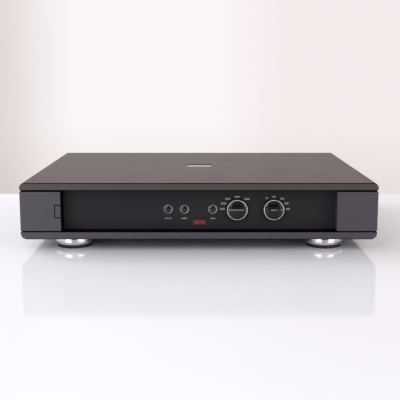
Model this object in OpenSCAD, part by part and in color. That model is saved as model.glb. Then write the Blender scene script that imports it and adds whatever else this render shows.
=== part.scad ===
// Phono preamp: flat cover and tray base held apart by two side castings, with a recessed control panel.
// Origin: centre of the footprint, at the underside of the rubber pads.
// +X is to the right and +Z up, seen from the front, and the front faces -Y. Millimetres.

/* [Case] */
// Width of the case
case_w = 433; // [425:1:460]
// Depth of the case
case_d = 340; // [336:1:380]
// Thickness of the cover
lid_t = 8.7; // [8:0.1:12]
// Thickness of the base
base_t = 9; // [8:0.1:12]
// Height of the side castings' visible faces
side_h = 48; // [46:0.5:60]
// Shadow gap under the cover
upper_gap = 2.1; // [1:0.1:3]
// Shadow gap over the base
lower_gap = 1.5; // [1:0.1:3]
// How far the shadow gaps run in from the front and back
gap_depth = 3; // [2:0.5:4]
// How far the shadow gaps run in from the sides
side_gap_depth = 0.8; // [0.5:0.1:2]
// Radius on the long edges of the cover
edge_r = 6; // [2:0.5:7]
// Radius on the long edges of the base
base_r = 8; // [2:0.5:8]
// Chamfer on the front and back edges of the cover and the base
edge_chamfer = 1; // [0.4:0.1:1.5]
// Thickness of the side walls
side_wall = 8; // [7.5:0.1:9]
// Thickness left over the pocket in the cover
lid_skin = 4; // [3.5:0.1:5]
// Thickness left under the pocket in the base
base_skin = 4; // [3:0.1:5]
// Width of the cover's rim at the sides
lid_rim_x = 26; // [24:1:34]
// Width of the cover's rim at the front
lid_rim_front = 32; // [30:1:40]
// Width of the cover's rim at the back
lid_rim_back = 40; // [38:1:50]
// Width of the base's rim at the sides
base_rim_x = 40; // [36:1:42]
// Width of the base's rim at the front and back
base_rim_y = 50; // [46:1:52]
// Thickness of the cover's ribs
rib_t = 5; // [3:0.5:8]
// Spacing of the cover's ribs
rib_pitch = 120; // [80:5:150]

/* [Badge] */
// Width of the plate let into the cover
badge_w = 35; // [20:1:50]
// Length of the plate from front to back
badge_l = 29; // [16:1:40]
// Thickness of the plate
badge_t = 1; // [0.5:0.1:1.2]
// Depth of the recess that holds it
badge_recess = 2.4; // [1.5:0.1:2.6]
// Place of the plate behind the middle of the cover
badge_y = 6; // [-30:1:30]

/* [Front] */
// Width of each front cheek
cheek_w = 49.2; // [46:0.2:54]
// Depth of each front cheek from front to back
cheek_d = 24; // [23:0.5:30]
// Leg of the gusset behind each cheek
gusset = 20; // [10:1:20]
// Thickness of the black front panel
panel_t = 4; // [3.5:0.1:5]
// Thickness of the steel plate behind it
subpanel_t = 2; // [1.5:0.1:2.5]
// How far that plate reaches behind each cheek
subpanel_lap = 18; // [16:0.5:19]
// Height of the controls' axes
control_z = 48; // [47:0.5:50]
// Width of the lit window
window_w = 16.6; // [10:0.2:20]
// Height of the lit window
window_h = 5.5; // [4:0.1:6]
// Height of the lit window's middle
window_z = 31.3; // [30:0.1:33]

/* [Buttons] */
// Places of the three round buttons across the panel
button_x = [-38, -18, 17];
// Diameter of a round button's cap
cap_d = 9.4; // [8:0.1:10.5]
// Wall of the bright ring's tube
bezel_wall = 0.5; // [0.4:0.1:0.8]
// Width of the bright ring's flange
bezel_flange = 0.3; // [0.2:0.1:1.5]
// How far the bright ring stands out of the panel
bezel_proud = 1.2; // [0.6:0.1:2]
// How far the cap's crown stands out of the bright ring
cap_proud = 0.5; // [0.2:0.1:1]
// Sphere radius of the cap's crown
cap_crown_r = 22; // [12:1:40]
// Travel of a round button
button_travel = 1; // [0.5:0.1:1.5]
// Diameter of a button's stem
stem_d = 4; // [3:0.1:4.4]
// Width of a switch behind a round button
tact_w = 7.2; // [6.5:0.1:8]
// Height of that switch above its board
tact_h = 4.6; // [4:0.1:6]

/* [Power] */
// Width of the power button
power_w = 6.8; // [6.6:0.1:10]
// Height of the power button
power_h = 14.4; // [12:0.2:18]
// Height of the power button's middle
power_z = 48.5; // [47:0.5:50]
// Length of the power button from front to back
power_l = 13; // [11:0.5:14]
// Groove round the power button
power_groove = 1; // [0.4:0.1:1.2]
// Travel of the power button
power_travel = 3.5; // [2:0.1:4]
// Diameter of the rod behind the power button
rod_d = 4.4; // [3.6:0.1:5]
// Width of the power switch
power_switch_w = 14; // [12:0.5:16]
// Height of the power switch
power_switch_h = 18; // [14:0.5:20]
// Length of the power switch
power_switch_l = 30; // [26:1:32]
// Sheet thickness of the power switch's bracket
bracket_t = 1.5; // [1:0.1:2]

/* [Selectors] */
// Places of the two knobs across the panel
knob_x = [47, 92];
// Diameter of a knob
knob_d = 25.5; // [24:0.1:28]
// Height of a knob's bright edge over the panel
knob_h = 7.5; // [7:0.1:9]
// Gap between a knob and the panel
knob_gap = 0.6; // [0.4:0.1:1]
// Width of a knob's flat bright edge
knob_edge = 0.8; // [0.5:0.05:1.5]
// Bevel outside that edge
knob_bevel = 0.3; // [0.2:0.1:1]
// Sphere radius of a knob's crowned face
knob_crown_r = 40; // [30:1:80]
// Step from the bright edge up to the crowned face
knob_step = 0.2; // [0.1:0.05:0.4]
// Diameter of a knob's hub
hub_d = 12; // [10:0.5:14]
// Wall of a knob outside its back recess
knob_wall = 2.2; // [1.5:0.1:3]
// Diameter of a selector's shaft
shaft_d = 6; // [5.5:0.1:6.4]
// Depth of the flat on the shaft
shaft_flat = 0.75; // [0.4:0.05:1]
// Diameter of a selector's threaded bushing
bushing_d = 9; // [8.4:0.1:9.4]
// Width of the nut across its flats
nut_af = 12; // [11.4:0.1:12.4]
// Thickness of the nut
nut_t = 2.5; // [2:0.1:3]
// Diameter of a selector's can
can_d = 25; // [24:0.5:27]
// Depth of a selector's can
can_h = 14; // [13:0.5:16]
// Wall of the can
can_wall = 2.5; // [2:0.1:3]
// Diameter of the detent wheel
wheel_d = 16.4; // [15:0.1:17]
// Notches round the detent wheel
wheel_notches = 12; // [8:1:16]

/* [Feet] */
// Height of a foot with its pad
foot_h = 14; // [13:0.1:18]
// Diameter of a foot
foot_d = 47; // [44:0.5:50]
// Height of the rubber pad that shows below the foot
pad_h = 3.8; // [3:0.1:5]
// Diameter of the rubber pad
pad_d = 42; // [38:0.1:42.4]
// Depth that the pad sits in the foot
pad_sink = 2; // [1.5:0.1:2.4]
// Distance of a foot's axis from the side of the case
foot_side = 60.5; // [57:0.5:66]
// Distance of a foot's axis from the front or the back
foot_edge = 32.5; // [28:0.5:34]
// Depth of the turned groove round a foot
foot_groove = 0.5; // [0.3:0.1:1]
// Height of that groove over the foot's lower edge
foot_groove_z = 5.6; // [5:0.1:7]
// Height of the foot's tapered lower part
foot_taper_h = 3.5; // [2:0.1:4.4]
// How far that part draws in
foot_taper = 1.7; // [0.8:0.1:1.8]

/* [Fasteners] */
// Diameter of the case bolts
bolt_d = 4; // [3:0.1:4.2]
// Diameter of a case bolt's head
bolt_head_d = 7; // [6.5:0.1:7.4]
// Height of a case bolt's head
bolt_head_h = 4; // [3:0.1:4.2]
// Diameter of the small screws
screw_d = 3; // [2.5:0.1:3.2]
// Diameter of a small screw's head
screw_head_d = 5.5; // [5:0.1:5.8]
// Height of a small screw's head
screw_head_h = 2.2; // [1.6:0.1:2.4]
// Length of a small screw under its head
screw_l = 8; // [7:0.5:9]
// Diameter of a foot screw
foot_screw_d = 5; // [4:0.1:5.4]
// Radial clearance round every fastener and fixed insert
fit_gap = 0.1; // [0.05:0.01:0.15]
// Radial clearance of the sliding and turning fits
run_gap = 0.05; // [0.03:0.01:0.08]

/* [Back] */
// How far the back panel sits inside the case
back_inset = 14; // [13:0.5:16]
// Thickness of the back panel
back_t = 3; // [2:0.1:3.5]
// Height of the connectors' axes
socket_z = 48; // [47:0.5:49]
// Width of the columns that carry the back panel
column_w = 17; // [16:0.5:19]
// Depth of those columns
column_d = 15; // [14:0.5:18]
// Distance of the first phono socket from the right side of the case
socket_edge = 64.5; // [62:0.5:70]
// Spacing of two phono sockets
phono_pitch = 20; // [16:0.5:24]
// Spacing of two three-pin sockets
xlr_pitch = 32; // [29:0.5:36]
// Spacing from the last socket of one kind to the first of the next
group_gap = 30; // [26:0.5:32]
// Outer diameter of a phono socket's shell
phono_d = 8.3; // [8.2:0.05:8.4]
// Length of that shell outside its bush
phono_l = 9; // [8:0.5:9.5]
// Diameter of a phono socket's contact hole
phono_bore_d = 3.3; // [3.2:0.05:3.5]
// Depth of the contact hole
phono_bore_l = 8; // [7:0.5:9]
// Diameter of the bush behind the shell
phono_bush_d = 11; // [10:0.5:12]
// Width of a three-pin socket's flange
xlr_flange_w = 26; // [24:0.5:27]
// Height of a three-pin socket's flange
xlr_flange_h = 31; // [30:0.5:32]
// Thickness of a connector's flange
flange_t = 2.5; // [2:0.1:3]
// Diameter of a three-pin socket's cup
xlr_cup_d = 19.2; // [19:0.1:19.6]
// Depth of the cup
xlr_cup_l = 16; // [14:0.5:16.5]
// Wall of a three-pin socket's body
xlr_wall = 2.2; // [1.6:0.1:2.4]
// Circle diameter of the three pins
xlr_pcd = 9.9; // [9.6:0.1:10.2]
// Diameter of a contact pin
xlr_pin_d = 2.4; // [2.2:0.1:2.6]
// Distance of the mains inlet's middle from the left side of the case
inlet_edge = 56.5; // [55.5:0.5:58.5]
// Distance of the earth post from the right side of the case
post_edge = 38.5; // [36.5:0.5:40.5]
// Diameter of the earth post's stud
stud_d = 4; // [3.6:0.1:4.2]
// Diameter of the knurled nut
thumb_d = 11; // [9:0.5:12]
// Height of the knurled nut
thumb_h = 7; // [6:0.5:8]

/* [Inside] */
// Thickness of the circuit boards
board_t = 1.6; // [1:0.1:2]
// Height of the standoffs under the main board
standoff_h = 10; // [9:0.5:12]
// Diameter of standoffs and spacers
standoff_d = 6.4; // [6:0.1:7]
// Outer diameter of the ring transformer
toroid_d = 90; // [80:1:92]
// Hole through the ring transformer
toroid_hole = 28; // [24:1:34]
// Height of the ring transformer
toroid_h = 34; // [28:1:36]
// Corner radius of its winding
toroid_r = 8; // [4:0.5:10]
// Thickness of the transformer's rubber pads
toroid_pad_t = 1.5; // [1:0.1:2]
// Diameter of the transformer's bolt
toroid_bolt_d = 6; // [5:0.1:6.4]
// Space between the ring transformer and the side wall
toroid_side_gap = 45.5; // [44:0.5:52]
// Space between the ring transformer and the plate behind the panel
toroid_front_gap = 54; // [50:0.5:60]
// Space between the ring transformer and the main board
main_gap = 15; // [12:0.5:20]
// Space between the main board and the right side wall
main_side_gap = 36.5; // [32:0.5:40]
// Diameter of an insulated wire
wire_d = 2.8; // [2:0.1:3.2]

/* [Hidden] */
$fn = 96;
cut = 1;

// Levels, from the floor up
z_base = foot_h;
z_base_top = z_base + base_t;
z_floor = z_base + base_skin;
z_side = z_base_top + lower_gap;
z_side_top = z_side + side_h;
z_lid = z_side_top + upper_gap;
z_lid_top = z_lid + lid_t;

// Planes, from the front to the back
y_front = -case_d / 2;
y_back = case_d / 2;
y_subpanel = y_front + cheek_d;
y_panel = y_subpanel - panel_t;
y_subpanel_back = y_subpanel + subpanel_t;
y_board = y_subpanel_back + can_h;
y_board_back = y_board + board_t;
y_rear_out = y_back - back_inset;
y_rear_in = y_rear_out - back_t;

// Planes across
x_side = case_w / 2;
x_wall = x_side - side_wall;
x_cheek = x_side - cheek_w;
foot_x = x_side - foot_side;
lid_edge_r = min(edge_r, lid_t - 1);
base_edge_r = min(base_r, base_t - 1);

// Case bolts: one through each cheek, each side boss and each column
boss_w = 12;
boss_d = 16;
column_bolt_x = x_wall - 5;
column_bolt_y = y_rear_in - column_d / 2;
bolt_places = [
    [x_cheek + cheek_w / 2, y_front + cheek_d / 2],
    [x_wall - boss_w / 2, 0],
    [column_bolt_x, column_bolt_y]
];
bolt_sink = bolt_head_h + 0.4;
bolt_sink_d = bolt_head_d + 1.2;
bolt_grip = 5;
bolt_end_gap = 0.6;

// Small screws in the cheeks, in the columns and under the bracket
panel_screw_z = [z_side + 6, z_side_top - 6];
cheek_screw_x = x_cheek + 9;
column_screw_x = x_wall - column_w + 4.5;
thread_l = screw_l + 1;

// Foot screws
foot_edge_break = 0.8;
foot_seat_z = foot_h - 2.6;
foot_hole_top = z_base_top - 1.5;
foot_screw_top = z_base_top - 2.2;
foot_head_d = 2 * foot_screw_d - 0.4;
foot_head_gap = 0.3;

// Round buttons
bezel_bore_r = cap_d / 2 + run_gap;
bezel_tube_r = bezel_bore_r + bezel_wall;
bezel_r = bezel_tube_r + bezel_flange;
cap_front = y_panel - bezel_proud - cap_proud;
cap_skirt = y_subpanel_back + 0.4;
cap_skirt_t = 1.4;
cap_skirt_r = bezel_tube_r + 0.4;
tact_front = y_board - tact_h;
stem_entry = 1;
stem_end_gap = 1;

// Power button
power_x = -(x_cheek + power_w / 2);
notch_back = y_panel - 1;
power_back = y_front + power_l;
power_socket = 8;
rod_hole_r = rod_d / 2 + 0.4;
bracket_y = y_subpanel_back + 11.5;
switch_y = bracket_y + bracket_t;
rod_entry = 9;
rod_end_gap = 2;
bracket_flange = 20;
bracket_rim = 2;
bracket_screw_in = 5;
bracket_screw_l = 6;

// Selectors
crown_r_edge = knob_d / 2 - knob_bevel - knob_edge;
crown_rise = knob_crown_r - sqrt(pow(knob_crown_r, 2) - pow(crown_r_edge, 2));
knob_back = y_panel - knob_gap;
knob_front = y_panel - knob_h;
shaft_front = knob_front + 1.4;
shaft_end_gap = 0.2;
recess_front = knob_back - 3.4;
nut_r = nut_af / 2 / cos(30);
nut_hole_r = nut_r + 0.6;
cavity_front = y_subpanel_back + can_wall;
cavity_back = y_board - can_wall;
wheel_gap = 0.3;
notch_d = 1.8;
nub_d = 2;
cavity_r = wheel_d / 2 + 1.3;
terminal_r = can_d / 2 - 2;
terminal_d = 1.2;

// Control board
board_x = [button_x[0] - 24, knob_x[1] + 22];
board_z = [z_base_top + 3.5, z_lid - 4];
spacer_x = [board_x[0] + 7, board_x[1] - 7];
spacer_z = [board_z[0] + 4.5, board_z[1] - 4.5];
board_screw_l = 6;
tapped_l = 7;

// Transformer
toroid_x = toroid_side_gap + toroid_d / 2 - x_wall;
toroid_y = y_subpanel_back + toroid_front_gap + toroid_d / 2;
toroid_z = z_floor + toroid_pad_t;
toroid_top = toroid_z + toroid_h;
washer_z = toroid_top + toroid_pad_t;
washer_t = 2;
washer_d = 44;
toroid_head_h = 4;
toroid_head_d = 10;

// Ribbon cable between the boards
ribbon_w = 17;
ribbon_mid = (knob_x[0] + knob_x[1]) / 2;
ribbon_z = 43;
ribbon_t = 1;
header_h = 6;
header_t = 6;
ribbon_bend = 18;
ribbon_entry = 4;

// Main board: its front edge is that far behind the transformer's middle, and its middle
// standoffs are clear of the ribbon cable
z_board = z_floor + standoff_h;
z_board_top = z_board + board_t;
main_front = 20;
main_back_gap = 1;
main_x = [toroid_x + toroid_d / 2 + main_gap, x_wall - main_side_gap];
main_y = [toroid_y + main_front, y_rear_in - main_back_gap];
standoff_inset = 8;
standoff_back_inset = 10;
standoff_clear = 4;
standoff_x = [
    main_x[0] + standoff_inset, ribbon_mid - ribbon_w / 2 - standoff_clear, main_x[1] - standoff_inset
];
standoff_y = [main_y[0] + standoff_inset, y_back - base_rim_y - standoff_back_inset];
spigot_l = 2;
spigot_d = 4;

// Parts on the main board: sizes, spacings, and how far each group's first one is from the
// board's right or left edge and from its front edge
film_l = 13;
film_w = 6;
film_h = 11;
film_row_gap = 12;
film_right = 116;
film_back = 81;
relay_l = 15;
relay_w = 8;
relay_h = 10;
relay_back = 63;
channel_pitch = 20;
chip_l = 10;
chip_w = 7;
chip_h = 4;
chip_right = 26;
chip_pitch = 80;
chip_back = 39;
chip_row_gap = 74;
supply_d = 16;
supply_left = 24;
supply_back = 17;
supply_h = 28;
supply_crease = 24;
supply_pitch = 23;
sink_left = 18;
sink_back = 37;
sink_w = 50;
sink_plate = 4;
sink_depth = 20;
sink_h = 28;
sink_fins = 8;
sink_fin_t = 1.6;
regulator_w = 10;
regulator_t = 4.4;
regulator_h = 9;
regulator_tab_t = 1.3;
regulator_tab_h = 6;
regulator_lift = 6;
regulator_leg = 0.9;
regulator_pitch = 18;
film_at = [main_x[1] - film_right, main_y[0] + film_back];
relay_at = [main_x[1] - film_right, main_y[0] + relay_back];
chip_x = [main_x[1] - chip_right - chip_pitch, main_x[1] - chip_right];
chip_y = [main_y[0] + chip_back, main_y[0] + chip_back + chip_row_gap];
supply_at = [main_x[0] + supply_left, main_y[0] + supply_back];
sink_at = [main_x[0] + sink_left, main_y[0] + sink_back];

// Where the transformer's wires meet the main board, from its left and front edges
wire_end_inset = 4;
wire_end_back = 15;

// Sockets
input_x = [x_side - socket_edge, x_side - socket_edge - phono_pitch];
balanced_in_x = [input_x[1] - group_gap, input_x[1] - group_gap - xlr_pitch];
output_x = [balanced_in_x[1] - group_gap, balanced_in_x[1] - group_gap - phono_pitch];
balanced_out_x = [output_x[1] - group_gap, output_x[1] - group_gap - xlr_pitch];
phono_bush_out = y_rear_out + 1.5;
phono_body_w = 13;
phono_body_l = 17;
phono_body_h = socket_z + 7;
xlr_face = y_rear_out + flange_t;
xlr_body_r = xlr_cup_d / 2 + xlr_wall;
xlr_cup_back = xlr_face - xlr_cup_l;
xlr_tail = 6;
xlr_screw_x = xlr_flange_w / 2 - 3.4;
xlr_screw_z = xlr_flange_h / 2 - 3.4;
xlr_core_r = xlr_cup_d / 2 - 1.4;
xlr_pin_inset = 2;
xlr_contact_d = xlr_pin_d + 0.4;

// Mains inlet and its fuse drawer
inlet_x = inlet_edge - x_side;
inlet_w = 27.6;
inlet_bottom = socket_z - 15;
inlet_top = socket_z + 14.5;
inlet_flange = [48, 33];
inlet_screw_x = 20;
inlet_cavity = [24.5, 16.5];
inlet_cavity_z = socket_z - 4.5;
inlet_cavity_l = 16;
inlet_body_l = 26;
inlet_wall = 2;
drawer_w = 23;
drawer_h = 6.4;
drawer_l = 18;
drawer_z = socket_z - 13.2;
drawer_face_t = 1.5;
drawer_face_lap = [0.6, 0.8];
drawer_floor = 0.8;
drawer_gap = 0.15;
drawer_end_gap = 0.3;
fuse_d = 5.2;
fuse_l = 20;
fuse_y = y_rear_out + flange_t - drawer_l + 5;
fuse_gap = [0.2, 0.1];
blade_pitch = 7;
blade_w = 2;
blade_h = 4;
blade_inset = 4;
blade_drop = 5;
earth_blade_up = 2;

// Earth post
post_x = x_side - post_edge;
post_flange_t = 2;
post_flange_d = 12;
washer_in = y_rear_out + post_flange_t;
thumb_washer_t = 1;
thumb_washer_d = thumb_d - 0.5;
thumb_washer_bore = stud_d + 0.6;
thumb_y = washer_in + thumb_washer_t;
thumb_flute_d = 1;
thumb_rim = 1.5;
stud_tail = 6;
stud_tip = 1.5;

// A block between two planes on each axis
module block(x, y, z) {
    translate([x[0], y[0], z[0]]) cube([x[1] - x[0], y[1] - y[0], z[1] - z[0]]);
}

// A round bar along Y between two planes
module bar_y(d, y, x = 0, z = 0) {
    translate([x, y[0], z]) rotate([-90, 0, 0]) cylinder(d = d, h = y[1] - y[0]);
}

// A round bar along Z between two levels
module bar_z(d, z, x = 0, y = 0) {
    translate([x, y, z[0]]) cylinder(d = d, h = z[1] - z[0]);
}

// A profile of [radius, y] points turned about an axis along Y
module turned_y(points, x = 0, z = 0) {
    translate([x, 0, z]) rotate([-90, 0, 0]) rotate_extrude() polygon(points);
}

// Copies on both sides of the middle plane
module both_sides() {
    children();
    mirror([1, 0, 0]) children();
}

// Places its children at every case bolt
module at_bolts() {
    both_sides() for (p = bolt_places) translate([p[0], p[1], 0]) children();
}

// Places its children at every foot
module at_feet() {
    for (x = [-foot_x, foot_x], y = [y_front + foot_edge, y_back - foot_edge]) {
        translate([x, y, 0]) children();
    }
}

// Plate section with two rounded upper corners
module plate_section(t, r) {
    translate([-x_side, 0]) square([case_w, t - r]);
    translate([-x_side + r, 0]) square([case_w - 2 * r, t]);
    intersection() {
        translate([-x_side, 0]) square([case_w, t]);
        for (x = [-x_side + r, x_side - r]) translate([x, t - r]) circle(r = r);
    }
}

// Plate that runs the whole depth of the case, chamfered along its front and back upper edges
module long_plate(t, r) {
    side = edge_chamfer * sqrt(2);
    difference() {
        rotate([90, 0, 0]) linear_extrude(case_d, center = true) plate_section(t, r);
        for (y = [y_front, y_back]) translate([0, y, t]) rotate([45, 0, 0]) {
            cube([case_w + 2 * cut, side, side], center = true);
        }
    }
}

module lid() {
    pocket_x = [-x_side + lid_rim_x, x_side - lid_rim_x];
    pocket_y = [y_front + lid_rim_front, y_back - lid_rim_back];
    color("#6f6764") difference() {
        translate([0, 0, z_lid]) long_plate(lid_t, lid_edge_r);
        difference() {
            block(pocket_x, pocket_y, [z_lid - cut, z_lid_top - lid_skin]);
            for (x = [-rib_pitch / 2, rib_pitch / 2]) {
                block([x - rib_t / 2, x + rib_t / 2], [y_front, y_back], [z_lid - cut, z_lid_top]);
            }
            block([-x_side, x_side], [-rib_t / 2, rib_t / 2], [z_lid - cut, z_lid_top]);
        }
        badge_space(fit_gap, [z_lid_top - badge_recess, z_lid_top + cut]);
        at_bolts() bar_z(bolt_d + 2 * fit_gap, [z_lid - cut, z_lid + bolt_grip + bolt_end_gap]);
    }
}

// Space of the plate in the cover, larger by a margin all round
module badge_space(margin, z) {
    block([-badge_w / 2 - margin, badge_w / 2 + margin],
          [badge_y - badge_l / 2 - margin, badge_y + badge_l / 2 + margin], z);
}

module lid_badge() {
    z = z_lid_top - badge_recess;
    color("#c9c4c0") badge_space(0, [z, z + badge_t]);
}

module base() {
    pocket_x = x_side - base_rim_x;
    pocket_y = case_d / 2 - base_rim_y;
    color("#4c4a4b") difference() {
        translate([0, 0, z_base_top]) mirror([0, 0, 1]) long_plate(base_t, base_edge_r);
        block([-pocket_x, pocket_x], [-pocket_y, pocket_y], [z_floor, z_base_top + cut]);
        at_bolts() {
            bar_z(bolt_d + 2 * fit_gap, [z_base - cut, z_base_top + cut]);
            bar_z(bolt_sink_d, [z_base - cut, z_base + bolt_sink]);
        }
        at_feet() bar_z(foot_screw_d + 2 * fit_gap, [z_base - cut, foot_hole_top]);
        bar_z(toroid_bolt_d + 2 * fit_gap, [z_base - cut, z_floor + cut], toroid_x, toroid_y);
        at_standoffs() bar_z(spigot_d + 2 * fit_gap, [z_floor - spigot_l - 0.2, z_floor + cut]);
        at_bracket_screws() {
            bar_z(screw_d + 2 * fit_gap, [z_base_top - bracket_screw_l - cut, z_base_top + cut]);
        }
    }
}

// Side casting on the right: cheek, gusset, wall, boss and column
module casting() {
    difference() {
        union() {
            block([x_cheek, x_side], [y_front, y_subpanel], [z_side, z_side_top]);
            block([x_wall, x_side], [y_front, y_back], [z_side, z_side_top]);
            casting_core();
            translate([0, 0, z_side]) linear_extrude(side_h) gusset_section();
        }
        for (p = bolt_places) bar_z(bolt_d + 2 * fit_gap, [z_base, z_lid_top], p[0], p[1]);
        for (z = panel_screw_z) {
            bar_y(screw_d + 2 * fit_gap, [y_subpanel - thread_l, y_subpanel + cut], cheek_screw_x, z);
            bar_y(screw_d + 2 * fit_gap, [y_rear_in - thread_l, y_rear_in + cut], column_screw_x, z);
        }
    }
}

// Core that seats the base and the cover, set in from every face that shows
module casting_core() {
    z = [z_base_top, z_lid];
    block([x_cheek + side_gap_depth, x_side - side_gap_depth], [y_front + gap_depth, y_subpanel], z);
    block([x_wall, x_side - side_gap_depth], [y_front + gap_depth, y_back - gap_depth], z);
    block([x_wall - boss_w, x_wall + cut], [-boss_d / 2, boss_d / 2], z);
    block([x_wall - column_w, x_wall + cut], [y_rear_in - column_d, y_rear_in], z);
}

// Triangle between the cheek and the wall
module gusset_section() {
    x = x_wall - gusset;
    y = y_subpanel + gusset;
    polygon([[x_wall + cut, y_subpanel - cut], [x, y_subpanel - cut], [x, y_subpanel],
             [x_wall, y], [x_wall + cut, y]]);
}

module right_side_casting() {
    color("#57535a") casting();
}

module left_side_casting() {
    notch_x = power_x - power_w / 2 - power_groove;
    notch_z = power_h / 2 + power_groove;
    color("#57535a") difference() {
        mirror([1, 0, 0]) casting();
        block([notch_x, -x_cheek + cut], [y_front - cut, notch_back],
              [power_z - notch_z, power_z + notch_z]);
        bar_y(2 * rod_hole_r, [notch_back - cut, y_subpanel + cut], power_x, power_z);
    }
}

// Openings of the controls, shared by the panel and the plate behind it
module control_holes(selector_d, y) {
    for (x = button_x) bar_y(2 * bezel_tube_r + 2 * run_gap, y, x, control_z);
    for (x = knob_x) bar_y(selector_d, y, x, control_z);
    block([-window_w / 2, window_w / 2], y, [window_z - window_h / 2, window_z + window_h / 2]);
}

module front_panel() {
    half = x_cheek - 2 * fit_gap;
    color("#1d1c1f") difference() {
        block([-half, half], [y_panel, y_subpanel], [z_base_top, z_lid]);
        control_holes(2 * nut_hole_r, [y_panel - cut, y_subpanel + cut]);
    }
}

module front_subpanel() {
    half = x_cheek + subpanel_lap;
    y = [y_subpanel - cut, y_subpanel_back + cut];
    color("#8d8f92") difference() {
        block([-half, half], [y_subpanel, y_subpanel_back], [z_base_top + 2 * fit_gap, z_lid - 2 * fit_gap]);
        control_holes(bushing_d + 2 * fit_gap, y);
        bar_y(2 * rod_hole_r, y, power_x, power_z);
        both_sides() for (z = panel_screw_z) bar_y(screw_d + 2 * fit_gap, y, cheek_screw_x, z);
        at_spacers() bar_y(screw_d + 2 * fit_gap, y);
    }
}

module rear_panel() {
    half = x_wall - 2 * fit_gap;
    y = [y_rear_in - cut, y_rear_out + cut];
    color("#3a383c") difference() {
        block([-half, half], [y_rear_in, y_rear_out], [z_base_top + 2 * fit_gap, z_lid - 2 * fit_gap]);
        both_sides() for (z = panel_screw_z) bar_y(screw_d + 2 * fit_gap, y, column_screw_x, z);
        for (x = concat(input_x, output_x)) bar_y(phono_bush_d + 2 * fit_gap, y, x, socket_z);
        for (x = concat(balanced_in_x, balanced_out_x)) {
            bar_y(2 * xlr_body_r + 2 * fit_gap, y, x, socket_z);
            at_xlr_screws(x) bar_y(screw_d + 2 * fit_gap, y);
        }
        block([inlet_x - inlet_w / 2 - fit_gap, inlet_x + inlet_w / 2 + fit_gap], y,
              [inlet_bottom - fit_gap, inlet_top + fit_gap]);
        for (x = [-inlet_screw_x, inlet_screw_x]) bar_y(screw_d + 2 * fit_gap, y, inlet_x + x, socket_z);
        bar_y(stud_d + 2 * fit_gap, y, post_x, socket_z);
    }
}

module case_bolts() {
    color("#2a2a2c") at_bolts() {
        difference() {
            bar_z(bolt_head_d, [z_base + bolt_sink - bolt_head_h, z_base + bolt_sink]);
            bar_z_hex(bolt_head_d * 0.4, [z_base, z_base + bolt_sink - bolt_head_h / 2]);
        }
        bar_z(bolt_d, [z_base + bolt_sink, z_lid + bolt_grip]);
    }
}

// Hexagonal socket along Z
module bar_z_hex(r, z) {
    translate([0, 0, z[0]]) cylinder(r = r, h = z[1] - z[0], $fn = 6);
}

// Pan-head screw with a cross recess: the underside of its head at the origin, its shank along +Z
module small_screw(l) {
    arm = screw_head_d / 4;
    arm_w = 0.7;
    difference() {
        union() {
            translate([0, 0, -screw_head_h]) cylinder(d = screw_head_d, h = screw_head_h);
            cylinder(d = screw_d, h = l);
        }
        for (a = [0, 90]) rotate([0, 0, a]) {
            translate([-arm, -arm_w / 2, -screw_head_h - cut]) cube([2 * arm, arm_w, cut + 1]);
        }
    }
}

// Two screws that hold a three-pin socket's flange
module at_xlr_screws(x) {
    for (s = [-1, 1]) translate([x + s * xlr_screw_x, 0, socket_z - s * xlr_screw_z]) children();
}

// Two screws that hold the power switch's bracket
module at_bracket_screws() {
    y = switch_y + bracket_flange - bracket_screw_in;
    for (x = [-bracket_screw_in, bracket_screw_in]) translate([power_x + x, y, 0]) children();
}

module panel_screws() {
    color("#2a2a2c") {
        both_sides() for (z = panel_screw_z) {
            translate([cheek_screw_x, y_subpanel_back, z]) rotate([90, 0, 0]) small_screw(screw_l);
            translate([column_screw_x, y_rear_out, z]) rotate([90, 0, 0]) small_screw(screw_l);
        }
        for (x = concat(balanced_in_x, balanced_out_x)) {
            at_xlr_screws(x) translate([0, xlr_face, 0]) rotate([90, 0, 0]) small_screw(screw_l);
        }
        for (x = [-inlet_screw_x, inlet_screw_x]) {
            translate([inlet_x + x, xlr_face, socket_z]) rotate([90, 0, 0]) small_screw(screw_l);
        }
        at_bracket_screws() translate([0, 0, z_base_top + bracket_t]) mirror([0, 0, 1]) {
            small_screw(bracket_screw_l);
        }
    }
}

// Foot turned from bar: a groove round it, a taper, a seat for the pad and a deep seat for its screw
module foot() {
    r = foot_d / 2;
    z0 = pad_h;
    z1 = foot_h;
    groove_z = z0 + foot_groove_z;
    seat = pad_d / 2 + fit_gap;
    head = foot_head_d / 2 + 0.5;
    hole = foot_screw_d / 2 + fit_gap;
    color("#d8d8da") rotate_extrude() polygon([
        [hole, z1], [r - foot_edge_break, z1], [r, z1 - foot_edge_break],
        [r, groove_z + 0.4], [r - foot_groove, groove_z + 0.2], [r - foot_groove, groove_z - 0.2],
        [r, groove_z - 0.4], [r, z0 + foot_taper_h], [r - foot_taper, z0], [seat, z0], [seat, z0 + pad_sink],
        [head, z0 + pad_sink], [head, foot_seat_z], [hole, foot_seat_z]
    ]);
}

module foot_front_left() translate([-foot_x, y_front + foot_edge, 0]) foot();
module foot_front_right() translate([foot_x, y_front + foot_edge, 0]) foot();
module foot_rear_left() translate([-foot_x, y_back - foot_edge, 0]) foot();
module foot_rear_right() translate([foot_x, y_back - foot_edge, 0]) foot();

module foot_pads() {
    r = pad_d / 2;
    edge = 1;
    color("#333236") at_feet() rotate_extrude() polygon([
        [0, 0], [r - edge, 0], [r, edge], [r, pad_h + pad_sink], [0, pad_h + pad_sink]
    ]);
}

module foot_screws() {
    head_z = pad_h + pad_sink + foot_head_gap;
    socket_l = 1.5;
    color("#8d8f92") at_feet() difference() {
        union() {
            bar_z(foot_head_d, [head_z, foot_seat_z]);
            bar_z(foot_screw_d, [foot_seat_z, foot_screw_top]);
        }
        bar_z_hex(foot_screw_d / 2, [head_z - cut, head_z + socket_l]);
    }
}

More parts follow.
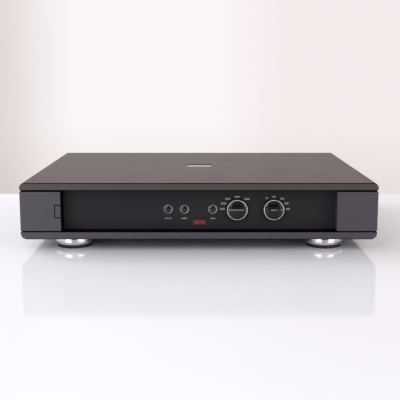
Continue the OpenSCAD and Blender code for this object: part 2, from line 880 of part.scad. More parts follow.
module power_button() {
    color("#4a474d") difference() {
        block([power_x - power_w / 2, power_x + power_w / 2], [y_front, power_back],
              [power_z - power_h / 2, power_z + power_h / 2]);
        bar_y(rod_d + 2 * run_gap, [power_back - power_socket, power_back + cut], power_x, power_z);
    }
}

module power_rod() {
    color("#d0d0cc") bar_y(rod_d, [power_back - power_socket, switch_y + rod_entry], power_x, power_z);
}

module power_switch() {
    x = power_switch_w / 2;
    z = power_switch_h / 2;
    color("#26262a") difference() {
        block([power_x - x, power_x + x], [switch_y, switch_y + power_switch_l], [power_z - z, power_z + z]);
        bar_y(rod_d + 2 * run_gap, [switch_y - cut, switch_y + rod_entry + power_travel + rod_end_gap],
              power_x, power_z);
    }
}

module power_switch_bracket() {
    x = [power_x - power_switch_w / 2 - bracket_rim, power_x + power_switch_w / 2 + bracket_rim];
    color("#8d8f92") difference() {
        union() {
            block(x, [bracket_y, switch_y], [z_base_top, power_z + power_switch_h / 2 + bracket_rim]);
            block(x, [bracket_y, switch_y + bracket_flange], [z_base_top, z_base_top + bracket_t]);
        }
        bar_y(2 * rod_hole_r, [bracket_y - cut, switch_y + cut], power_x, power_z);
        at_bracket_screws() bar_z(screw_d + 2 * fit_gap, [z_base_top - cut, z_base_top + bracket_t + cut]);
    }
}

// Round button: crowned cap, skirt behind the bright ring and stem into its switch
module round_button(x) {
    color("#2b2a2d") {
        intersection() {
            bar_y(cap_d, [cap_front, cap_skirt + cap_skirt_t], x, control_z);
            translate([x, cap_front + cap_crown_r, control_z]) sphere(r = cap_crown_r, $fn = 180);
        }
        bar_y(2 * cap_skirt_r, [cap_skirt, cap_skirt + cap_skirt_t], x, control_z);
        bar_y(stem_d, [cap_skirt, tact_front + stem_entry], x, control_z);
    }
}

module mono_button() round_button(button_x[0]);
module mute_button() round_button(button_x[1]);
module input_button() round_button(button_x[2]);

module button_bezels() {
    r = bezel_r;
    edge = 0.3;
    y0 = y_panel - bezel_proud;
    color("#c8c6c6") for (x = button_x) turned_y([
        [bezel_bore_r, y0], [r - edge, y0], [r, y0 + edge], [r, y_panel], [bezel_tube_r, y_panel],
        [bezel_tube_r, y_subpanel_back], [bezel_bore_r, y_subpanel_back]
    ], x, control_z);
}

module tact_switches() {
    w = tact_w / 2;
    color("#26262a") for (x = button_x) difference() {
        block([x - w, x + w], [tact_front, y_board], [control_z - w, control_z + w]);
        bar_y(stem_d + 2 * run_gap,
              [tact_front - cut, tact_front + stem_entry + button_travel + stem_end_gap], x, control_z);
    }
}

// Round shaft with a flat on its upper side, larger by a margin all round
module flatted_bar(y, x, margin) {
    r = shaft_d / 2 + margin;
    difference() {
        bar_y(2 * r, y, x, control_z);
        block([x - r - cut, x + r + cut], [y[0] - cut, y[1] + cut],
              [control_z + r - shaft_flat, control_z + r + cut]);
    }
}

// Knob: crowned face inside a flat bright edge, hub and recess behind
module knob(x) {
    r = knob_d / 2;
    crown_y = knob_front - knob_step - crown_rise;
    color("#1d1c1f") difference() {
        union() {
            turned_y([[0, knob_back], [0, knob_front], [r - knob_bevel, knob_front],
                      [r, knob_front + knob_bevel], [r, knob_back]], x, control_z);
            intersection() {
                bar_y(2 * crown_r_edge, [crown_y, knob_front + cut], x, control_z);
                translate([x, crown_y + knob_crown_r, control_z]) sphere(r = knob_crown_r, $fn = 180);
            }
        }
        difference() {
            bar_y(knob_d - 2 * knob_wall, [recess_front, knob_back + cut], x, control_z);
            bar_y(hub_d, [recess_front - cut, knob_back + 2 * cut], x, control_z);
        }
        flatted_bar([shaft_front - shaft_end_gap, knob_back + cut], x, run_gap);
    }
}

module capacitance_knob() knob(knob_x[0]);
module load_knob() knob(knob_x[1]);

// Selector shaft: flatted end for the knob and a notched detent wheel at the back
module selector_shaft(x) {
    wheel = [cavity_front + wheel_gap, cavity_back - wheel_gap];
    color("#b8b4a8") {
        flatted_bar([shaft_front, knob_back], x, 0);
        bar_y(shaft_d, [knob_back, wheel[0] + cut], x, control_z);
        difference() {
            bar_y(wheel_d, wheel, x, control_z);
            for (i = [0 : wheel_notches - 1]) {
                translate([x, 0, control_z]) rotate([0, i * 360 / wheel_notches, 0]) {
                    bar_y(notch_d, [wheel[0] - cut, wheel[1] + cut], 0, wheel_d / 2);
                }
            }
        }
    }
}

module capacitance_shaft() selector_shaft(knob_x[0]);
module load_shaft() selector_shaft(knob_x[1]);

module rotary_switches() {
    color("#9a9a96") for (x = knob_x) difference() {
        union() {
            bar_y(can_d, [y_subpanel_back, y_board], x, control_z);
            bar_y(bushing_d, [y_panel, y_subpanel_back + cut], x, control_z);
            at_terminals(x) bar_y(terminal_d, [y_board - cut, y_board_back + 1.5]);
        }
        difference() {
            bar_y(2 * cavity_r, [cavity_front, cavity_back], x, control_z);
            bar_y(nub_d, [cavity_front, cavity_back], x, control_z + wheel_d / 2 + wheel_gap + nub_d / 2);
        }
        bar_y(shaft_d + 2 * run_gap, [y_panel - cut, cavity_front + cut], x, control_z);
    }
}

// Terminals round the back of a selector's can
module at_terminals(x) {
    for (a = [45 : 90 : 315]) {
        translate([x + terminal_r * cos(a), 0, control_z + terminal_r * sin(a)]) children();
    }
}

module switch_nuts() {
    color("#c0b48a") for (x = knob_x) difference() {
        translate([x, y_subpanel, control_z]) rotate([90, 0, 0]) cylinder(r = nut_r, h = nut_t, $fn = 6);
        bar_y(bushing_d + 2 * fit_gap, [y_subpanel - nut_t - cut, y_subpanel + cut], x, control_z);
    }
}

module indicator_lens() {
    x = window_w / 2 - fit_gap;
    z = window_h / 2 - fit_gap;
    color("#8a2b33") block([-x, x], [y_panel, y_subpanel], [window_z - z, window_z + z]);
}

module indicator_leds() {
    lap = 0.5;
    gap = 0.3;
    x = window_w / 2 - lap;
    z = window_h / 2 + lap;
    color("#c0303a") block([-x, x], [y_subpanel_back + gap, y_board], [window_z - z, window_z + z]);
}

// Spacers at the control board's corners
module at_spacers() {
    for (x = spacer_x, z = spacer_z) translate([x, 0, z]) children();
}

module control_board() {
    color("#2c5a3c") difference() {
        block(board_x, [y_board, y_board_back], board_z);
        at_spacers() bar_y(screw_d + 2 * fit_gap, [y_board - cut, y_board_back + cut]);
        for (x = knob_x) at_terminals(x) {
            bar_y(terminal_d + 2 * fit_gap, [y_board - cut, y_board_back + cut]);
        }
    }
}

module control_board_spacers() {
    color("#c0b48a") at_spacers() difference() {
        union() {
            bar_y(standoff_d, [y_subpanel_back, y_board]);
            bar_y(screw_d, [y_subpanel, y_subpanel_back + cut]);
        }
        bar_y(screw_d + 2 * fit_gap, [y_board - tapped_l, y_board + cut]);
    }
}

// Flat cable that drops from the control board to the main board, with a header at each end
module ribbon_cable() {
    y0 = y_board_back;
    y1 = main_y[0] + ribbon_entry;
    top = z_board_top + header_h;
    low = ribbon_z - ribbon_t / 2;
    high = ribbon_z + ribbon_t / 2;
    header = [ribbon_z - header_t / 2, ribbon_z + header_t / 2];
    section = [
        [y0, header[0]], [y0 + header_h, header[0]], [y0 + header_h, low], [y0 + ribbon_bend, low],
        [y1 - ribbon_bend, top - ribbon_t], [y1, top - ribbon_t], [y1, z_board_top],
        [y1 + header_t, z_board_top], [y1 + header_t, top], [y1 - ribbon_bend, top],
        [y0 + ribbon_bend, high], [y0 + header_h, high], [y0 + header_h, header[1]], [y0, header[1]]
    ];
    color("#9a9aa0") translate([ribbon_mid - ribbon_w / 2, 0, 0]) rotate([90, 0, 90]) {
        linear_extrude(ribbon_w) polygon(section);
    }
}

// Standoffs under the main board
module at_standoffs() {
    for (x = standoff_x, y = standoff_y) translate([x, y, 0]) children();
}

module main_board() {
    color("#2c5a3c") difference() {
        block(main_x, main_y, [z_board, z_board_top]);
        at_standoffs() bar_z(screw_d + 2 * fit_gap, [z_board - cut, z_board_top + cut]);
    }
}

module board_standoffs() {
    color("#c0b48a") at_standoffs() difference() {
        union() {
            bar_z(standoff_d, [z_floor, z_board]);
            bar_z(spigot_d, [z_floor - spigot_l, z_floor + cut]);
        }
        bar_z(screw_d + 2 * fit_gap, [z_board - tapped_l, z_board + cut]);
    }
}

module board_screws() {
    color("#8d8f92") {
        at_standoffs() translate([0, 0, z_board_top]) mirror([0, 0, 1]) small_screw(board_screw_l);
        at_spacers() translate([0, y_board_back, 0]) rotate([90, 0, 0]) small_screw(board_screw_l);
    }
}

// A block that stands on the main board
module on_board(x, y, size) {
    translate([x - size[0] / 2, y - size[1] / 2, z_board_top]) cube(size);
}

module film_capacitors() {
    color("#a8383a") for (i = [0 : 5], row = [0, 1]) {
        on_board(film_at[0] + channel_pitch * i, film_at[1] + film_row_gap * row,
                 [film_l, film_w, film_h]);
    }
}

// Cans with a crease rolled in near the top
module supply_capacitors() {
    r = supply_d / 2;
    crease_z = z_board_top + supply_crease;
    color("#2b3350") for (i = [0 : 3]) translate([supply_at[0] + supply_pitch * i, supply_at[1], 0]) {
        difference() {
            bar_z(supply_d, [z_board_top, z_board_top + supply_h]);
            translate([0, 0, crease_z]) rotate_extrude() translate([r * 1.05, 0]) circle(d = r / 5);
        }
    }
}

module relays() {
    color("#d8d4c8") for (i = [0 : 5]) {
        on_board(relay_at[0] + channel_pitch * i, relay_at[1], [relay_l, relay_w, relay_h]);
    }
}

// Chips with a half-round notch at one end
module amplifier_chips() {
    notch_d = chip_l / 5;
    top = z_board_top + chip_h;
    color("#1d1c1f") for (x = chip_x, y = chip_y) difference() {
        on_board(x, y, [chip_l, chip_w, chip_h]);
        bar_z(notch_d, [top - 0.6, top + cut], x - chip_l / 2, y);
    }
}

// Finned extrusion that stands on the main board
module heatsink() {
    pitch = (sink_w - sink_fin_t) / (sink_fins - 1);
    color("#3a3a3e") translate([sink_at[0], sink_at[1], z_board_top]) linear_extrude(sink_h) {
        square([sink_w, sink_plate]);
        for (i = [0 : sink_fins - 1]) translate([i * pitch, 0]) square([sink_fin_t, sink_depth]);
    }
}

// Three-legged regulators against the heatsink's plate
module regulators() {
    w = regulator_w;
    z = z_board_top + regulator_lift;
    first = sink_at[0] + (sink_w - 2 * regulator_pitch) / 2;
    color("#26262a") for (i = [0 : 2]) translate([first + regulator_pitch * i, sink_at[1], 0]) {
        translate([-w / 2, -regulator_t, z]) cube([w, regulator_t, regulator_h]);
        translate([-w / 2, -regulator_tab_t, z + regulator_h - cut]) {
            cube([w, regulator_tab_t, regulator_tab_h]);
        }
        for (leg = [-w / 4, 0, w / 4]) bar_z(regulator_leg, [z_board_top, z + cut], leg, -regulator_t / 2);
    }
}

module transformer() {
    r0 = toroid_hole / 2;
    w = (toroid_d - toroid_hole) / 2;
    c = toroid_r;
    color("#b0762c") translate([toroid_x, toroid_y, toroid_z]) rotate_extrude() translate([r0, 0]) {
        translate([c, 0]) square([w - 2 * c, toroid_h]);
        translate([0, c]) square([w, toroid_h - 2 * c]);
        for (x = [c, w - c], y = [c, toroid_h - c]) translate([x, y]) circle(r = c);
    }
}

module transformer_pads() {
    color("#26262a") translate([toroid_x, toroid_y, 0]) for (z = [z_floor, toroid_top]) difference() {
        bar_z(toroid_d - 2 * toroid_r, [z, z + toroid_pad_t]);
        bar_z(toroid_bolt_d + 1, [z - cut, z + toroid_pad_t + cut]);
    }
}

// Washer that presses on the transformer: a flat rim and a dished middle
module transformer_washer() {
    r = washer_d / 2;
    hole = toroid_bolt_d / 2 + fit_gap;
    color("#8d8f92") translate([toroid_x, toroid_y, washer_z]) rotate_extrude() polygon([
        [hole, 0], [r, 0], [r, washer_t * 1.5], [r - 3, washer_t * 1.5], [r - 6, washer_t], [hole, washer_t]
    ]);
}

module transformer_bolt() {
    seat = washer_z + washer_t;
    dimple_d = 3;
    color("#8d8f92") translate([toroid_x, toroid_y, 0]) difference() {
        union() {
            bar_z(toroid_bolt_d, [z_base + 0.5, seat + cut]);
            bar_z_hex(toroid_head_d / 2 / cos(30), [seat, seat + toroid_head_h]);
        }
        bar_z(dimple_d, [seat + toroid_head_h - 1, seat + toroid_head_h + cut]);
    }
}

// Insulated wire along straight runs with round corners
module wire(points) {
    for (i = [0 : len(points) - 2]) {
        a = points[i];
        b = points[i + 1];
        run = b - a;
        translate(a) {
            if (run[0] != 0) rotate([0, run[0] > 0 ? 90 : -90, 0]) cylinder(d = wire_d, h = abs(run[0]));
            if (run[1] != 0) rotate([run[1] > 0 ? -90 : 90, 0, 0]) cylinder(d = wire_d, h = abs(run[1]));
            if (run[2] != 0) mirror([0, 0, run[2] > 0 ? 0 : 1]) cylinder(d = wire_d, h = abs(run[2]));
            if (i > 0) sphere(d = wire_d);
        }
    }
}

module power_wires() {
    switch_back = switch_y + power_switch_l;
    inlet_back = y_rear_out - inlet_body_l;
    touch = 0.05;
    toroid_front = toroid_y - toroid_d / 2 - touch;
    toroid_side = toroid_x + toroid_d / 2 + touch;
    high = power_z + 3;
    low = power_z - 5;
    run_y = toroid_front - 4;
    run_x = toroid_side + 11;
    end_x = main_x[0] + wire_end_inset;
    end_y = main_y[0] + wire_end_back;
    color("#7a3a2a") {
        for (x = [power_x - 1.5, power_x + 3]) wire([[x, switch_back, high], [x, inlet_back, high]]);
        wire([[power_x, switch_back, low], [power_x, run_y, low], [toroid_x, run_y, low],
              [toroid_x, toroid_front, low]]);
        wire([[toroid_side, toroid_y, low], [run_x, toroid_y, low], [run_x, end_y, low],
              [end_x, end_y, low], [end_x, end_y, z_board_top]]);
    }
}

// Phono socket: housing on the main board, bush through the back panel and metal shell
module phono_socket(x) {
    y = y_rear_in;
    difference() {
        union() {
            block([x - phono_body_w / 2, x + phono_body_w / 2], [y - phono_body_l, y],
                  [z_board_top, phono_body_h]);
            bar_y(phono_bush_d, [y - cut, phono_bush_out], x, socket_z);
            bar_y(phono_d, [phono_bush_out - cut, phono_bush_out + phono_l], x, socket_z);
        }
        bar_y(phono_bore_d, [phono_bush_out + phono_l - phono_bore_l, y_back + cut], x, socket_z);
    }
}

module input_jacks() color("#c9a24a") for (x = input_x) phono_socket(x);
module output_jacks() color("#c9a24a") for (x = output_x) phono_socket(x);

// Shell of a three-pin socket: flange outside the back panel and body through it
module xlr_shell(x) {
    difference() {
        union() {
            block([x - xlr_flange_w / 2, x + xlr_flange_w / 2], [y_rear_out, xlr_face],
                  [socket_z - xlr_flange_h / 2, socket_z + xlr_flange_h / 2]);
            bar_y(2 * xlr_body_r, [xlr_cup_back - xlr_tail, y_rear_out + cut], x, socket_z);
        }
        bar_y(xlr_cup_d, [xlr_cup_back, xlr_face + cut], x, socket_z);
        at_xlr_screws(x) bar_y(screw_d + 2 * fit_gap, [y_rear_out - cut, xlr_face + cut]);
    }
}

// The three contacts of a socket
module at_contacts(x) {
    for (a = [-90, 30, 150]) {
        translate([x + xlr_pcd / 2 * cos(a), 0, socket_z + xlr_pcd / 2 * sin(a)]) children();
    }
}

module balanced_outputs() {
    color("#55555a") for (x = balanced_out_x) {
        xlr_shell(x);
        at_contacts(x) bar_y(xlr_pin_d, [xlr_cup_back - cut, xlr_face - xlr_pin_inset]);
    }
}

module balanced_inputs() {
    color("#55555a") for (x = balanced_in_x) {
        xlr_shell(x);
        difference() {
            bar_y(2 * xlr_core_r, [xlr_cup_back - cut, xlr_face], x, socket_z);
            at_contacts(x) bar_y(xlr_contact_d, [xlr_cup_back + xlr_pin_inset, xlr_face + cut]);
        }
    }
}

module ground_post() {
    color("#c9a24a") {
        bar_y(post_flange_d, [y_rear_out, washer_in], post_x, socket_z);
        bar_y(stud_d, [y_rear_in - stud_tail, thumb_y + thumb_h + stud_tip], post_x, socket_z);
    }
}

module ground_washer() {
    color("#c8c6c6") difference() {
        bar_y(thumb_washer_d, [washer_in, thumb_y], post_x, socket_z);
        bar_y(thumb_washer_bore, [washer_in - cut, thumb_y + cut], post_x, socket_z);
    }
}

// Thumb nut with grip flutes
module ground_nut() {
    flutes = 16;
    color("#c9a24a") difference() {
        bar_y(thumb_d, [thumb_y, thumb_y + thumb_h], post_x, socket_z);
        bar_y(stud_d + 2 * run_gap, [thumb_y - cut, thumb_y + thumb_h + cut], post_x, socket_z);
        for (i = [0 : flutes - 1]) translate([post_x, 0, socket_z]) rotate([0, i * 360 / flutes, 0]) {
            bar_y(thumb_flute_d, [thumb_y + thumb_rim, thumb_y + thumb_h - thumb_rim], 0, thumb_d / 2);
        }
    }
}

// Mains inlet: flange, body, socket with three blades and a slot for the fuse drawer
module mains_inlet() {
    x = inlet_x;
    cavity_back_y = xlr_face - inlet_cavity_l;
    top = inlet_cavity_z + inlet_cavity[1];
    color("#222226") {
        difference() {
            union() {
                block([x - inlet_flange[0] / 2, x + inlet_flange[0] / 2], [y_rear_out, xlr_face],
                      [socket_z - inlet_flange[1] / 2, socket_z + inlet_flange[1] / 2]);
                block([x - inlet_w / 2, x + inlet_w / 2], [y_rear_out - inlet_body_l, y_rear_out + cut],
                      [inlet_bottom, inlet_top]);
            }
            block([x - inlet_cavity[0] / 2, x + inlet_cavity[0] / 2], [cavity_back_y, xlr_face + cut],
                  [inlet_cavity_z, top]);
            block([x - drawer_w / 2 - drawer_gap, x + drawer_w / 2 + drawer_gap],
                  [xlr_face - drawer_l - drawer_end_gap, xlr_face + cut],
                  [drawer_z - drawer_gap, drawer_z + drawer_h + drawer_gap]);
            for (s = [-inlet_screw_x, inlet_screw_x]) {
                bar_y(screw_d + 2 * fit_gap, [y_rear_out - cut, xlr_face + cut], x + s, socket_z);
            }
        }
        for (i = [-1, 0, 1]) {
            blade_x = x + i * blade_pitch;
            blade_top = top - blade_drop + (i == 0 ? earth_blade_up : 0);
            block([blade_x - blade_w / 2, blade_x + blade_w / 2],
                  [cavity_back_y - cut, xlr_face - blade_inset], [blade_top - blade_h, blade_top]);
        }
    }
}

// Drawer with a trough for the fuse
module fuse_drawer() {
    x = drawer_w / 2;
    face_x = x + drawer_face_lap[0];
    trough = [fuse_l / 2 + fuse_gap[0], fuse_d / 2 + fuse_gap[1]];
    color("#2c2c30") difference() {
        union() {
            block([inlet_x - x, inlet_x + x], [xlr_face - drawer_l, xlr_face + cut / 2],
                  [drawer_z, drawer_z + drawer_h]);
            block([inlet_x - face_x, inlet_x + face_x], [xlr_face, xlr_face + drawer_face_t],
                  [drawer_z - drawer_face_lap[1], drawer_z + drawer_h + drawer_face_lap[1]]);
        }
        block([inlet_x - trough[0], inlet_x + trough[0]], [fuse_y - trough[1], fuse_y + trough[1]],
              [drawer_z + drawer_floor, drawer_z + drawer_h + cut]);
    }
}

module fuse() {
    z = drawer_z + drawer_floor + fuse_gap[1] / 2 + fuse_d / 2;
    color("#d8dde0") translate([inlet_x - fuse_l / 2, fuse_y, z]) rotate([0, 90, 0]) {
        cylinder(d = fuse_d, h = fuse_l);
    }
}

lid();
lid_badge();
base();
left_side_casting();
right_side_casting();
front_panel();
front_subpanel();
rear_panel();
case_bolts();
panel_screws();
foot_front_left();
foot_front_right();
foot_rear_left();
foot_rear_right();
foot_pads();
foot_screws();
power_button();
power_rod();
power_switch();
power_switch_bracket();
mono_button();
mute_button();
input_button();
button_bezels();
tact_switches();
capacitance_knob();
load_knob();
capacitance_shaft();
load_shaft();
rotary_switches();
switch_nuts();
indicator_lens();
indicator_leds();
control_board();
control_board_spacers();
ribbon_cable();
main_board();
board_standoffs();
board_screws();
film_capacitors();
supply_capacitors();
relays();
amplifier_chips();
heatsink();
regulators();
transformer();
transformer_pads();
transformer_washer();
transformer_bolt();
power_wires();
input_jacks();
output_jacks();
balanced_inputs();
balanced_outputs();
ground_post();
ground_washer();
ground_nut();
mains_inlet();
fuse_drawer();
fuse();
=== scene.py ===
"""Phono preamp: the finish of its case, controls, feet and sockets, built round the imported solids."""

from math import cos, pi, radians, sin, sqrt

import bmesh
import bpy
from bpy.props import FloatProperty, FloatVectorProperty, PointerProperty
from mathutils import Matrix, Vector


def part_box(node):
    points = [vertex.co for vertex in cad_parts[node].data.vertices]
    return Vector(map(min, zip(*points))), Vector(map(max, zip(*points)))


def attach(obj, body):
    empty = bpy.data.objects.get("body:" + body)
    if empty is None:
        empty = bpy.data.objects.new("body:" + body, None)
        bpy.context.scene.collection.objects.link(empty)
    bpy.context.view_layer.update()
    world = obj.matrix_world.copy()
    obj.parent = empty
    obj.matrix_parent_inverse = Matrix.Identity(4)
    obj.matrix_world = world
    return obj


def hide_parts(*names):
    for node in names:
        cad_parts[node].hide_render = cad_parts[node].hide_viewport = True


bl_info = {
    "name": "Phono Preamp",
    "version": (1, 0, 0),
    "blender": (4, 5, 0),
    "location": "3D View > Sidebar > Preamp",
    "description": "Finishes a recessed-panel phono preamp and sets it on a white table",
    "category": "Object",
}

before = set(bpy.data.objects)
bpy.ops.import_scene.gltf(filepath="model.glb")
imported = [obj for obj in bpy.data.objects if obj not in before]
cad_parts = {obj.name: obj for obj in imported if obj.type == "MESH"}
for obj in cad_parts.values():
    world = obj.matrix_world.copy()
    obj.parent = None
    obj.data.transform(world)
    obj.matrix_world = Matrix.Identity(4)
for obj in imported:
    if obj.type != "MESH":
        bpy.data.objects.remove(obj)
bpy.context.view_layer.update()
MM = 0.001

# Lengths are in millimetres where nothing else is said.
# Radii of the balls that the crowned faces of the knobs and of the button caps are part of
CROWN_BALL = 40
CAP_BALL = 14
# From the back of a knob to the front of its bright edge
KNOB_DEPTH = 6.9
# From the middle of the case to where the 45 degree cuts of its front and back edges begin
CUTS_FROM = 165
# How far under the cover, and over the tray's rim, the castings are painted dark inside the gaps, as painted
# shade
TOP_LIP = 2.2
BOTTOM_LIP = 1.4
# Width of the gap round the power button, with some room
NOTCH_GAP = 1.3
# Font size over the height of its digits
FONT_SCALE = 1.38
# Height of the sockets' axes, half the width of a phono housing and of a three-pin flange
SOCKET_AXIS = 48.0
HOUSING_HALF = 6.5
FLANGE_HALF = 13
# Radii: the circle that the three contacts stand on, one contact with some room, and a socket's core
PIN_CIRCLE = 4.95
PIN_REACH = 1.3
CORE_REACH = 8.3
# Camera: how far it stands to the right, its sensor and focal length, and how many degrees it looks down
EYE_RIGHT = 1.3
SENSOR = 36
FOCAL_LENGTH = 73.6
LOOK_DOWN = 9.47
# Soft boxes: place, width and height in metres, power in watts, and tint
SOFT_BOXES = {
    "left_box": ((-1.15, -1.9, 0.95), (1.5, 1.8), 23.5, "#f6f7ff"),
    "right_box": ((1.5, -1.6, 0.95), (1.5, 1.8), 20, "#fff1ec"),
    "window_box": ((-1.75, 0.5, 1.1), (1.6, 1.2), 35, "#f7f9fe"),
    "top_box": ((-0.9, 0.6, 1.5), (1.8, 1.6), 6, "#fffaf6"),
}
# Tints over the wall: axis of the direction, where the tint begins and where it is full, and its colour.
# The last is the ceiling, which only gloss shows from a low camera.
WALL_TINTS = (("Z", -0.06, -0.17, "#f3f2ef"), ("X", -0.14, -0.26, "#e1dddb"),
              ("X", 0.0, 0.12, "#f8f3f3"), ("Z", 0.1, 0.4, "#ae968a"))
# Edges of the dark strip of room in front, which the crowned gloss faces mirror in their upper half
DARK_STRIP = (("Y", -0.88, -0.96), ("Z", -0.005, 0.02), ("Z", 0.3, 0.12))


def linear(code):
    """Turns an sRGB hex colour into linear red, green and blue."""
    parts = [int(code[i:i + 2], 16) / 255 for i in (1, 3, 5)]
    return tuple(c / 12.92 if c <= 0.04045 else ((c + 0.055) / 1.055) ** 2.4 for c in parts)


def colour_prop(name, text, code):
    """A colour that a user can change, with its default written in sRGB hex."""
    return FloatVectorProperty(name=name, description=text, subtype="COLOR", size=3, min=0, max=1,
                               default=linear(code))


def length_prop(name, text, millimetres):
    """A length that a user can change, with its default written in millimetres."""
    return FloatProperty(name=name, description=text, unit="LENGTH", min=0, precision=5,
                         default=millimetres * MM)


class PreampColours(bpy.types.PropertyGroup):
    """Colours of the finishes."""
    cover: colour_prop("Cover", "Dyed aluminium of the top cover", "#433d3d")
    case: colour_prop("Case", "Dyed aluminium of the base and the side castings", "#434047")
    # The gaps' colour is painted shade: black put where shade falls, inside the gaps and on the cut edges
    gap: colour_prop("Gaps", "Black finish inside the gaps and on the cut edges", "#060506")
    plate: colour_prop("Plate", "Clear anodised plate in the cover", "#e9e5e2")
    button: colour_prop("Power button", "Dyed aluminium of the power button", "#434047")
    panel: colour_prop("Panel", "Satin acrylic of the front panel", "#29282b")
    legend: colour_prop("Legends", "Ink of the printed marks", "#b9b7ba")
    ring: colour_prop("Bright rings", "Plating round the buttons", "#f1f3f5")
    knob: colour_prop("Knobs", "Dyed aluminium and gloss face of the knobs", "#111012")
    foot: colour_prop("Feet", "Turned aluminium of the feet", "#ececee")
    pad: colour_prop("Pads", "Rubber under the feet", "#222124")
    lit: colour_prop("Lit bars", "Light behind the window", "#8c2533")
    table: colour_prop("Table", "Table top under the preamp", "#ecedf1")
    wall: colour_prop("Wall", "Wall of the room behind the preamp", "#fbf6f7")


class PreampSizes(bpy.types.PropertyGroup):
    """Sizes of the edges, the print and the camera's place."""
    edge: length_prop("Edge", "Rounding of the machined edges", 0.35)
    fine_edge: length_prop("Fine edge", "Rounding of the small pieces' edges", 0.15)
    ink: length_prop("Ink", "Height of the print over the panel", 0.02)
    scale_text: length_prop("Dial numbers", "Height of the numbers round the knobs", 2.4)
    button_text: length_prop("Button marks", "Height of the marks under the buttons", 2.0)
    bold: length_prop("Bold", "How far the print's strokes are thickened", 0.02)
    mark_drop: length_prop("Mark drop", "From a round button's axis down to its mark", 11.6)
    scale_gap: length_prop("Dial gap", "From a knob's axis to the nearest edge of its numbers", 14.9)
    table_back: length_prop("Table edge", "From the middle of the case back to the edge of the table", 270)
    eye_back: length_prop("Camera distance", "From the middle of the case to the camera", 1143)
    eye_up: length_prop("Camera height", "From the floor to the camera", 225)


# ---------------------------------------------------------------- materials

def add(tree, kind, inputs=None, **settings):
    """Adds a node, sets what it is told and fills or links its inputs."""
    made = tree.nodes.new("ShaderNode" + kind)
    for key, value in settings.items():
        setattr(made, key, value)
    for key, value in (inputs or {}).items():
        if isinstance(value, bpy.types.NodeSocket):
            tree.links.new(value, made.inputs[key])
        else:
            made.inputs[key].default_value = value
    return made


def speckle(size_mm, detail=3.0, stretch=(1, 1, 1)):
    """A pattern of soft grains about size_mm across, drawn out where stretch is small."""
    def draw(tree, place):
        drawn = add(tree, "Mapping", {"Vector": place, "Scale": stretch}).outputs["Vector"]
        grains = {"Vector": drawn, "Scale": 1 / (size_mm * MM), "Detail": detail}
        return add(tree, "TexNoise", grains).outputs["Fac"]
    return draw


def finish(name, colour, rough, pattern, tint=0.05, relief=None, relief_mm=0.0, **sockets):
    """A finish whose colour and roughness wander with a pattern, and whose surface follows another."""
    material = bpy.data.materials.get(name)
    if material:
        return material
    material = bpy.data.materials.new(name)
    material.use_nodes = True
    tree = material.node_tree
    shader = tree.nodes["Principled BSDF"]
    for key, value in sockets.items():
        shader.inputs[key.replace("_", " ")].default_value = value
    place = add(tree, "TexCoord").outputs["Object"]
    fac = pattern(tree, place)
    low = tuple(c * (1 - tint) for c in colour) + (1,)
    high = tuple(min(1, c * (1 + tint)) for c in colour) + (1,)
    mixed = add(tree, "Mix", {0: fac, 6: low, 7: high}, data_type="RGBA")
    tree.links.new(mixed.outputs[2], shader.inputs["Base Color"])
    spread = add(tree, "MapRange", {"Value": fac, "To Min": rough[0], "To Max": rough[1]})
    tree.links.new(spread.outputs["Result"], shader.inputs["Roughness"])
    if relief:
        bump = add(tree, "Bump", {"Height": relief(tree, place), "Distance": relief_mm * MM, "Strength": 0.4})
        tree.links.new(bump.outputs["Normal"], shader.inputs["Normal"])
    return material


def dyed_aluminium(name, colour, rough=0.42, level=0.5):
    """Bead-blasted and dyed aluminium: a fine dry grit and a soft sheen that lifts at a low angle."""
    # Real pits are about 0.1 mm across, too fine to show, so the grit is drawn coarser
    return finish(name, colour, (rough - 0.03, rough + 0.03), speckle(60, 2.0), 0.04, speckle(0.25), 0.004,
                  Metallic=0.2, Specular_IOR_Level=level)


def brushed_aluminium(name, colour):
    """Clear anodised, brushed along X: long hair lines that stretch each highlight."""
    # Real hair lines are under 0.1 mm wide, too fine to show, so they are drawn coarser
    lines = speckle(0.3, 4.0, (0.02, 1, 1))
    return finish(name, colour, (0.22, 0.36), lines, 0.08, lines, 0.003, Metallic=0.7)


def gloss_acrylic(name, colour, rough=0.08, level=0.5):
    """Cast acrylic or lacquer: a smooth skin over solid colour, gloss or satin, with faint wiping haze."""
    return finish(name, colour, (rough * 0.7, rough * 1.4), speckle(40), 0.04,
                  IOR=1.49, Specular_IOR_Level=level)


def moulded_plastic(name, colour, rough=0.45):
    """Injection-moulded ABS or nylon: an even satin skin with the fine texture of the tool."""
    return finish(name, colour, (rough - 0.05, rough + 0.05), speckle(25, 2.0), 0.05,
                  speckle(0.35), 0.006, IOR=1.53)


def plated_steel(name, colour, rough=0.3):
    """Zinc, nickel or oxide over rolled steel: bright, with a faint cloudy bloom."""
    return finish(name, colour, (rough - 0.05, rough + 0.1), speckle(6, 4.0), 0.08, Metallic=1.0)


def bright_plate(name, colour, rough=0.08):
    """Polished chrome or cut metal: near mirror, with the last fine lines of the buffing wheel."""
    return finish(name, colour, (rough * 0.6, rough * 1.5), speckle(0.8), 0.03, Metallic=1.0)


def lathe_rings(feed_mm):
    """A pattern of rings one feed apart round an upright axis."""
    def draw(tree, place):
        height = add(tree, "SeparateXYZ", {"Vector": place}).outputs["Z"]
        turns = add(tree, "Math", {0: height, 1: 2 * pi / (feed_mm * MM)}, operation="MULTIPLY").outputs[0]
        wave = add(tree, "Math", {0: turns}, operation="SINE").outputs[0]
        return add(tree, "MapRange", {"Value": wave, "From Min": -1.0, "From Max": 1.0}).outputs["Result"]
    return draw


def turned_aluminium(name, colour):
    """Polished on the lathe: fine rings that spread each highlight up and down the side."""
    # Real rings are about 0.1 mm apart, too fine to show, so they are drawn coarser
    rings = lathe_rings(0.5)
    return finish(name, colour, (0.1, 0.2), rings, 0.03, rings, 0.002, Metallic=1.0)


